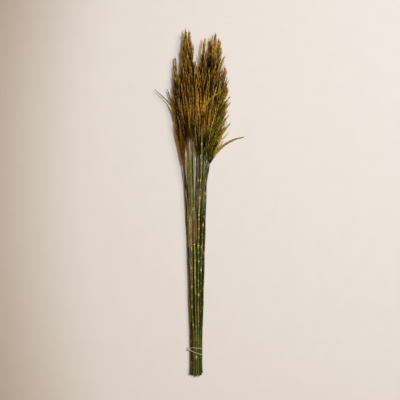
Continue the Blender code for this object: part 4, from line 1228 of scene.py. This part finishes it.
def knot_points():
    t = np.linspace(0, 2 * math.pi, KNOT_STATIONS)
    loop = np.stack([-np.sin(3 * t), np.sin(t) + 2 * np.sin(2 * t), np.cos(t) - 2 * np.cos(2 * t)], axis=-1)
    return KNOT + loop * KNOT_SIZE


def needles(starts, aims, lengths, radius):
    lines = np.stack([starts, starts + aims * lengths * 0.5, starts + aims * lengths], axis=1)
    radii = np.array([0.0, radius, 0.0])
    tone = np.full((len(lines), 1), FUZZ_TONE)
    return tubes(lift_from_floor(lines, radii), radii, HAIR_SIDES, tone=tone)


def make_string():
    rng = np.random.default_rng(300)
    routes = [turn_line(*slant) for slant in TURN_SLANTS] + [knot_points()]
    routes += [KNOT + np.vstack([np.zeros(3), np.array(offsets) * MM]) for offsets in TAILS]
    parts, lines = map(list, zip(*[twisted(route) for route in routes]))
    for line in lines[-2:]:
        ahead = unit(line[-1] - line[-4]) + rng.normal(0, FRAY_SPREAD, (FRAY_COUNT, 3))
        spread = rng.uniform(SHORTEST_FRAY, 1.0, (FRAY_COUNT, 1)) * FRAY_LENGTH
        parts.append(needles(np.tile(line[-2], (FRAY_COUNT, 1)), unit(ahead), spread, FRAY_RADIUS))
    whole = np.concatenate(lines)
    starts = whole[rng.integers(0, len(whole), FUZZ_COUNT)]
    aims = unit(rng.normal(0, 1, (FUZZ_COUNT, 3)))
    lengths = rng.uniform(*FUZZ_LENGTH, (FUZZ_COUNT, 1))
    parts.append(needles(starts, aims, lengths, FUZZ_RADIUS))
    return make_piece("string", parts, [STRING], ["tie"])


string = make_string()
print("string:", triangles_of(string), "triangles")

# %% [markdown]
# ## Leaf sheaths and leaves
# Each internode was wrapped in a leaf sheath. Most were stripped off, but a few torn pieces stay
# on the culms, thin and tan, open along one side and ragged at the top. Each is a thin shell of
# its own, a fraction of a millimetre off the culm, with real thickness so that its edge shows. Two
# narrow tan strips lie on the bundle as well, shells too, folded a little along the middle. The
# first is a dry leaf; the second is a sheet laid between the stems as painted shade.

# %% Wrap the sheaths
# Reed, foot and length in millimetres, degrees round the culm where its middle faces, and its span
SHEATHS = (
    ("reed_08", -90, 60, 90, 230),
    ("reed_14", -273, 41, 95, 220),
    ("reed_14", -331, 24, 90, 240),
    ("reed_13", -96, 50, 78, 170),
    ("reed_06", -105, 55, 90, 240),
    ("reed_06", -48, 58, 90, 240),
    ("reed_09", -30, 60, 90, 210),
    ("reed_07", 20, 48, 110, 240),
    ("reed_04", -120, 40, 60, 230),
)
SHEATH_ROWS, SHEATH_COLUMNS = 14, 16
SHEATH_GAP, SHEATH_THICKNESS = 0.12 * MM, 0.14 * MM
SHEATH_TEAR, TEAR_BEND, SHEATH_RAGGED, SHEATH_LIFT = 0.35, 1.5, 0.05, 0.35 * MM
# A sheath is a little wider than its culm, most at its foot, where it sits on the joint
SHEATH_FIT, FOOT_SWELLING, FOOT_CLOSING, SHEATH_LENGTHS = 1.03, 0.10, 12, (0.2, 1.1)
SHELL_TONES, VEIN_SPACING = (0.3, 0.8), 0.45


def shell(outer, inner, rng):
    """A closed thin body from two grids of the same shape, the outer side facing outward."""
    rows, columns = outer.shape[:2]
    index = np.arange(rows * columns).reshape(rows, columns)
    low, high = index[:-1, :-1], index[1:, 1:]
    side, over = index[:-1, 1:], index[1:, :-1]
    front = np.stack([low, over, high, side], axis=-1).reshape(-1, 4)
    back = front[:, ::-1] + rows * columns
    edge = np.concatenate([index[0, :], index[1:, -1], index[-1, -2::-1], index[-2:0:-1, 0]])
    after = np.roll(edge, -1)
    rim = np.stack([edge, after, after + rows * columns, edge + rows * columns], axis=-1)
    points = np.concatenate([outer.reshape(-1, 3), inner.reshape(-1, 3)])
    veins = np.repeat(np.arange(columns)[None] * VEIN_SPACING, rows, 0)
    grain = np.stack([veins, np.zeros((rows, columns)), outer[..., 1] / MM], axis=-1).reshape(-1, 3)
    tone = np.full(len(points), rng.uniform(*SHELL_TONES))
    return quad_part(points, np.concatenate([front, back, rim]), np.concatenate([grain, grain]), tone)


def sheath_part(reed, foot, length, facing, span, rng):
    columns = np.linspace(-1, 1, SHEATH_COLUMNS)
    angles = math.radians(facing) + math.radians(span / 2) * columns
    torn = 1 - SHEATH_TEAR * np.abs(columns) ** TEAR_BEND
    ragged = torn + SHEATH_RAGGED * rng.normal(0, 1, SHEATH_COLUMNS)
    rows = np.linspace(0, 1, SHEATH_ROWS)[:, None]
    y = foot * MM + length * MM * rows * np.clip(ragged, *SHEATH_LENGTHS)
    centres = reed_line(reed, y.ravel()).reshape(*y.shape, 3)
    lifted = SHEATH_GAP + SHEATH_LIFT * rows ** 2 * np.abs(columns) ** 2
    radius = culm_radius(y) * (SHEATH_FIT + FOOT_SWELLING * np.exp(-rows * FOOT_CLOSING)) + lifted
    outward = np.stack([np.cos(angles), 0 * angles, np.sin(angles)], axis=-1)
    inner = centres + radius[..., None] * outward
    return shell(inner + SHEATH_THICKNESS * outward, inner, rng)


for number, (name, *measures) in enumerate(SHEATHS, 1):
    part = sheath_part(REED_NAMED[name], *measures, np.random.default_rng(400 + number))
    make_piece(f"sheath_{number:02d}", [part], [SHEATH], [])
print("sheaths:", len(SHEATHS))

# %% Lay a narrow leaf, and a tan sheet between the stems as painted shade
# Half the width and the line of each. The first, a leaf, lies over the longest stray at the right;
# the second lies between the stems and darkens the gap there, as painted shade
LEAVES = (
    (2.3, ((25, 96, 10.6), (43, 116, 10.6), (53, 126, 9.6), (63, 133, 8.6), (84, 144, 7.6), (104, 149, 6.6))),
    (2.1, ((-26, 158, 7), (-23.5, 120, 7), (-22, 85, 7), (-20.8, 50, 7), (-19, 10, 6.5), (-17.5, -40, 6))),
)
LEAF_ROWS, LEAF_COLUMNS = 36, 7
LEAF_THICKNESS, LEAF_FOLD = 0.22 * MM, 0.8 * MM
# Places along a leaf, and the share of the width there
LEAF_PLACES, LEAF_SIZES = (0.0, 0.25, 0.6, 1.0), (0.5, 1.0, 0.8, 0.08)


def leaf_part(half_width, points, rng):
    """A folded blade along a line, widest near its root."""
    line = curve_through(np.array(points) * MM, LEAF_ROWS)
    columns = np.linspace(-1, 1, LEAF_COLUMNS)
    narrowing = np.interp(np.linspace(0, 1, LEAF_ROWS)[:, None], LEAF_PLACES, LEAF_SIZES)
    level = unit(np.cross(unit(np.gradient(line, axis=0)), UP))
    aside = -columns[None, :, None] * half_width * MM * narrowing[..., None] * level[:, None]
    outer = line[:, None] + aside + (LEAF_FOLD * narrowing * columns ** 2)[..., None] * UP
    return shell(outer, outer - LEAF_THICKNESS * UP, rng)


for number, (half_width, points) in enumerate(LEAVES, 1):
    part = leaf_part(half_width, points, np.random.default_rng(450 + number))
    make_piece(f"leaf_{number:02d}", [part], [SHEATH], [])
print("leaves:", len(LEAVES))

# %% [markdown]
# ## Sizes
# The dressed bundle has to stay as large as the imported one, so both boxes are printed.

# %% Print the sizes
dressed_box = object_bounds()
for name, box in (("packed", cad_box), ("dressed", dressed_box)):
    print(name, "box:", [[round(v, 4) for v in corner] for corner in box])
